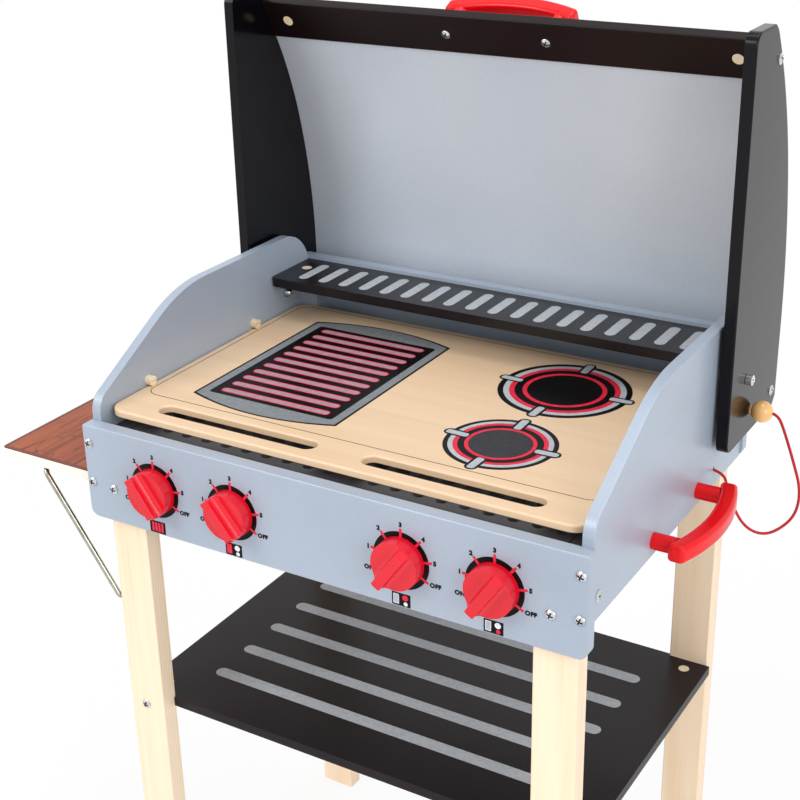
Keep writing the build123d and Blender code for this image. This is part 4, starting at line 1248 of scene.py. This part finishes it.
@dataclass(frozen=True)
class ScrewHeads:
    """Domed screw heads with a cross recess, which stand for one group of plain screws."""

    node: str
    body: str
    places: tuple[Point, ...]
    out: Point
    head: Head
    length: float
    # Past these middles along x and y, the screws look the other way
    mirrors: tuple[float | None, float | None] = (0.0, None)
    rings: int = 12
    steps: int = 48
    lean: Point = (0.3, 0.5, 0.81)
    # The recess: half an arm's width and an arm's reach in radii, and its depth in dome heights
    arm: float = 0.13
    reach: float = 0.62
    sunk: float = 0.65

    def add(self, work: MeshWork, origin: Array, out: Array) -> Array:
        """Add one screw: a cap of a sphere with a sunk cross, and its shank.

        Args:
            work: the piece that the screw joins.
            origin: the middle of the head's seat.
            out: the way that the head looks.

        Returns:
            One for each point that is in the recess and takes its painted shade, and nought for the
            others.
        """
        radius, height, rise, shank = self.head.value
        turn = np.linspace(0, -FULL_TURN, self.steps, endpoint=False)
        spoke = spokes(out, self.lean, turn)
        reach = radius * np.linspace(0.0, 1.0, self.rings + 1)[1:]
        sphere = (radius**2 + rise**2) / (2 * rise)
        dome = height - sphere + np.sqrt(sphere**2 - reach**2)
        flat = np.abs(np.stack([np.cos(turn), np.sin(turn)])[..., None] * reach)
        inside = (flat.min(axis=0) < radius * self.arm) & (flat.max(axis=0) < radius * self.reach)
        level = dome - np.where(inside, rise * self.sunk, 0.0)
        top = spoke[:, None] * reach[:, None] + level[..., None] * out
        lower = ((radius, 0.0), (shank, 0.0), (shank, -self.length))
        walls = np.stack([spoke * wide + out * z for wide, z in lower], axis=1)
        poles = np.outer((height - rise * self.sunk, -self.length), out)
        work.capped(origin + np.concatenate([top, walls], axis=1) * MM, origin + poles * MM)
        # Points that get the recess's painted shade
        dark = np.concatenate([inside, np.zeros((self.steps, len(lower)))], axis=1)
        return np.concatenate([dark.ravel(), [1.0, 0.0]])

    def build(self) -> None:
        """Make the group as one piece."""
        work, recess_shade_per_screw = MeshWork(), []
        for point in self.places:
            out = np.array(self.out)
            for axis, middle in enumerate(self.mirrors):
                if middle is not None and point[axis] < middle:
                    out[axis] *= -1.0
            recess_shade_per_screw.append(self.add(work, BENCH.at(*point), out))
        piece = work.build(f"{self.node}_heads", Palette.zinc)
        # The attribute that carries the recess's painted shade to the zinc finish
        recess = piece.data.attributes.new("recess", "FLOAT", "POINT")
        recess.data.foreach_set("value", np.concatenate(recess_shade_per_screw).astype(np.float32))
        finish_piece(piece, self.body, "zinc_bolts", self.node)


def both_sides(*places: Point) -> tuple[Point, ...]:
    """The same places at the right and at the left."""
    return places + tuple((-x, y, z) for x, y, z in places)


# Every group of screws in view: where they sit, which way they look, their head and length
SCREWS = (
    ScrewHeads("panel_screws", "stand",
               both_sides((229.0, 0.0, -16.7), (229.0, 0.0, -53.2), (205.8, 0.0, -55.2)),
               FRONT, Head.PAN, 24.0),
    ScrewHeads("back_screws", "stand", both_sides((229.0, 341.0, -49.0), (229.0, 341.0, 30.0)),
               BACK, Head.PAN, 28.0),
    ScrewHeads("leg_bolts", "stand", both_sides((233.0, 21.0, -42.6), (233.0, 322.0, -42.6)),
               SIDE, Head.BOLT, 30.0),
    ScrewHeads("shelf_bolts", "stand", both_sides((206.0, 12.0, -283.0), (206.0, 331.0, -283.0)),
               BACK, Head.BOLT, 36.0, mirrors=(None, 171.5)),
    ScrewHeads("pivot_bolts", "stand", both_sides((247.3, 288.0, 29.5)), SIDE, Head.PIVOT, 27.9),
    ScrewHeads("lid_bolts", "lid", both_sides((247.0, 308.6, 292.5), (247.0, 360.0, -8.0)),
               SIDE, Head.BOLT, 34.0),
    ScrewHeads("lid_handle_screws", "lid", both_sides((48.05, 304.1, 290.25)),
               (0.0, -0.8908, -0.4543), Head.PAN, 35.6, mirrors=(None, None)),
)


@dataclass(frozen=True)
class PegBall:
    """The turned ball on the lock peg, flattened a little where the cord leaves it."""

    centre: Point = (257.0, 306.5, -5.5)
    radius: float = 9.5
    flat: float = 0.1
    rows: int = 29
    steps: int = 48
    lean: Point = (0.31, 0.57, 0.76)

    def build(self) -> None:
        """Make the ball from a half circle turned about x."""
        angle = np.linspace(-math.pi / 2, math.pi / 2, self.rows)
        wide = self.radius * np.cos(angle)
        height = np.minimum(self.radius * np.sin(angle), self.radius - self.flat)
        turn = np.linspace(0, FULL_TURN, self.steps, endpoint=False)
        spoke = spokes(X_AXIS, self.lean, turn)
        rings = spoke[:, None] * wide[1:-1, None] + X_AXIS * height[1:-1, None]
        centre = BENCH.at(*self.centre)
        work = MeshWork()
        work.capped(centre + rings * MM, centre + np.outer(height[[0, -1]], X_AXIS) * MM)
        piece = work.build("turned_ball", Palette.amber, smooth=True)
        finish_piece(piece, "peg", "peg_wood", "peg_ball")


@dataclass(frozen=True)
class LidSheet:
    """The lid's curved silver sheet between its plates, as a smooth surface."""

    half: float = 237.0
    foot: float = -23.0
    knee: Flat = (376.0, 48.0)
    waist: Flat = (356.0, 198.0)
    crown: Flat = (303.0, 314.0)
    inset: float = 8.0
    thick: float = 3.0
    bar_foot: Flat = (313.0, 272.8)
    bar_head: Flat = (295.2, 307.7)
    straight_steps: int = 8
    arc_steps: int = 24
    sharp_degrees: float = 35.0

    def arc(self, start: Array, end: Array, tangent: Array) -> tuple[Array, float, Array]:
        """The circle through two points that leaves the first along a tangent.

        Args:
            start: the first point.
            end: the last point.
            tangent: the way along the circle at the first point.

        Returns:
            Its centre, its radius and the way along it at the last point.
        """
        chord = end - start
        normal = np.array([-tangent[1], tangent[0]])
        radius = (chord @ chord) / (2 * (chord @ normal))
        centre = start + normal * radius
        away = end - centre
        return centre, radius, np.array([-away[1], away[0]]) / abs(radius) * np.sign(radius)

    def profile(self) -> tuple[Array, Array]:
        """The rear line, a straight run and two tangent arcs, and the way out at each point."""
        knee, waist, crown = (np.array(point) for point in (self.knee, self.waist, self.crown))
        straight = np.linspace(self.foot, knee[1], self.straight_steps)[:-1]
        points = [np.stack([np.full(len(straight), knee[0]), straight], axis=-1)]
        ways = [np.tile([1.0, 0.0], (len(straight), 1))]
        tangent = np.array([0.0, 1.0])
        for start, end in ((knee, waist), (waist, crown)):
            centre, radius, tangent = self.arc(start, end, tangent)
            from_angle, to_angle = (math.atan2(*(point - centre)[::-1]) for point in (start, end))
            angle = np.linspace(from_angle, to_angle, self.arc_steps)
            way = np.stack([np.cos(angle), np.sin(angle)], axis=-1)
            points.append(centre + abs(radius) * way)
            ways.append(way)
        return self.cut_at_bar(np.vstack(points), np.vstack(ways))

    def cut_at_bar(self, line: Array, way: Array) -> tuple[Array, Array]:
        """End the line on the front bar's face, between its foot and its head."""
        foot, head = np.array(self.bar_foot), np.array(self.bar_head)
        above = (line - way * (self.inset + self.thick / 2) - foot) @ unit(head - foot)
        last = int(np.argmax(above >= 0.0))
        share = above[last - 1] / (above[last - 1] - above[last])
        for rows in (line, way):
            rows[last] = rows[last - 1] + share * (rows[last] - rows[last - 1])
        return line[:last + 1], way[:last + 1]

    def build(self) -> None:
        """Make the sheet as a closed band from its two skins."""
        line, way = self.profile()
        outer, inner = (line - way * depth for depth in (self.inset, self.inset + self.thick))
        loop = np.vstack([outer, inner[::-1]])
        x = np.linspace(-self.half, self.half, 3)
        grid = np.zeros((len(loop), len(x), 3))
        grid[..., 0] = x
        grid[..., 1:] = loop[:, None]
        work = MeshWork()
        work.grid(BENCH.at(0, 0, 0) + grid * MM, close_u=True)
        rows = np.arange(len(loop)) * len(x)
        for shift, order in ((0, -1), (len(x) - 1, 1)):
            near, far = rows[:len(line)] + shift, rows[::-1][:len(line)] + shift
            cap = np.stack([near[:-1], near[1:], far[1:], far[:-1]], axis=-1)[:, ::order]
            work.faces.extend(cap.tolist())
        piece = work.build("lid_sheet", Palette.lid_silver, smooth=True)
        piece.data.set_sharp_from_angle(angle=math.radians(self.sharp_degrees))
        finish_piece(piece, "lid", "lid_silver", "lid_skin")


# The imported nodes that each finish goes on
FINISHES = {
    Palette.silver: "front_panel back_panel side_panel_left side_panel_right rack_post_left "
                    "rack_post_right",
    Palette.birch: "leg_front_left leg_front_right leg_rear_left leg_rear_right cooktop_rails",
    Palette.beech: "cooktop",
    Palette.tray_grey: "tray_board",
    Palette.shelf_black: "lower_shelf",
    Palette.rack_black: "warming_rack",
    Palette.gloss_black: "lid_side_left lid_side_right",
    Palette.bar_black: "lid_front_bar lid_rear_bar",
    Palette.lid_silver: "lid_skin",
    Palette.zinc: "shelf_bolts rack_bolts panel_screws back_screws leg_bolts side_handle_screws "
                  "pivot_bolts pivot_spacers pivot_nuts hinge_leaf_screws stay_clip_screws "
                  "lid_bolts lid_handle_screws shelf_leaf_screws knob_screw_1 knob_screw_2 "
                  "knob_screw_3 knob_screw_4 shelf_hinge_leaves shelf_hinge_pins "
                  "shelf_moving_leaves stay_clips",
    Palette.cream: "shelf_barrel_nuts rack_barrel_nuts board_pins lid_barrel_nuts",
    Palette.red: "side_handle side_handle_posts lid_handle lid_handle_posts",
    Palette.dial_red: "knob_1 knob_2 knob_3 knob_4",
    Palette.chrome: "wire_stay",
    Palette.amber: "lock_peg peg_ball",
    Palette.cord: "cord_knot red_cord",
}


def dress(node: str, finish: Finish) -> None:
    """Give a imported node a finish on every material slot."""
    material = PALETTE.get(finish)
    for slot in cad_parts[node].material_slots:
        slot.material = material
    LOG.info("dressed %s in %s", node, material.name)


def dress_nodes() -> None:
    """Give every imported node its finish."""
    for finish, nodes in FINISHES.items():
        for node in nodes.split():
            dress(node, finish)
    low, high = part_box("side_shelf")
    dress("side_shelf", PlankPrint("printed_brown_planks", (low.x, low.y), (high.x, high.y)))


def main() -> None:
    """Build the studio, the cord, the prints and the hardware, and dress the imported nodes."""
    Studio().build()
    SafetyCord().build()
    dress_nodes()
    for number, (x, lit) in enumerate(zip((-160.0, -80.0, 80.0, 160.0), Lit), 1):
        Dial(number, x, lit).build()
    CooktopPrint().build()
    for group in (*STRIPES, *SCREWS):
        group.build()
    PegBall().build()
    LidSheet().build()


if __name__ == "__main__":
    main()
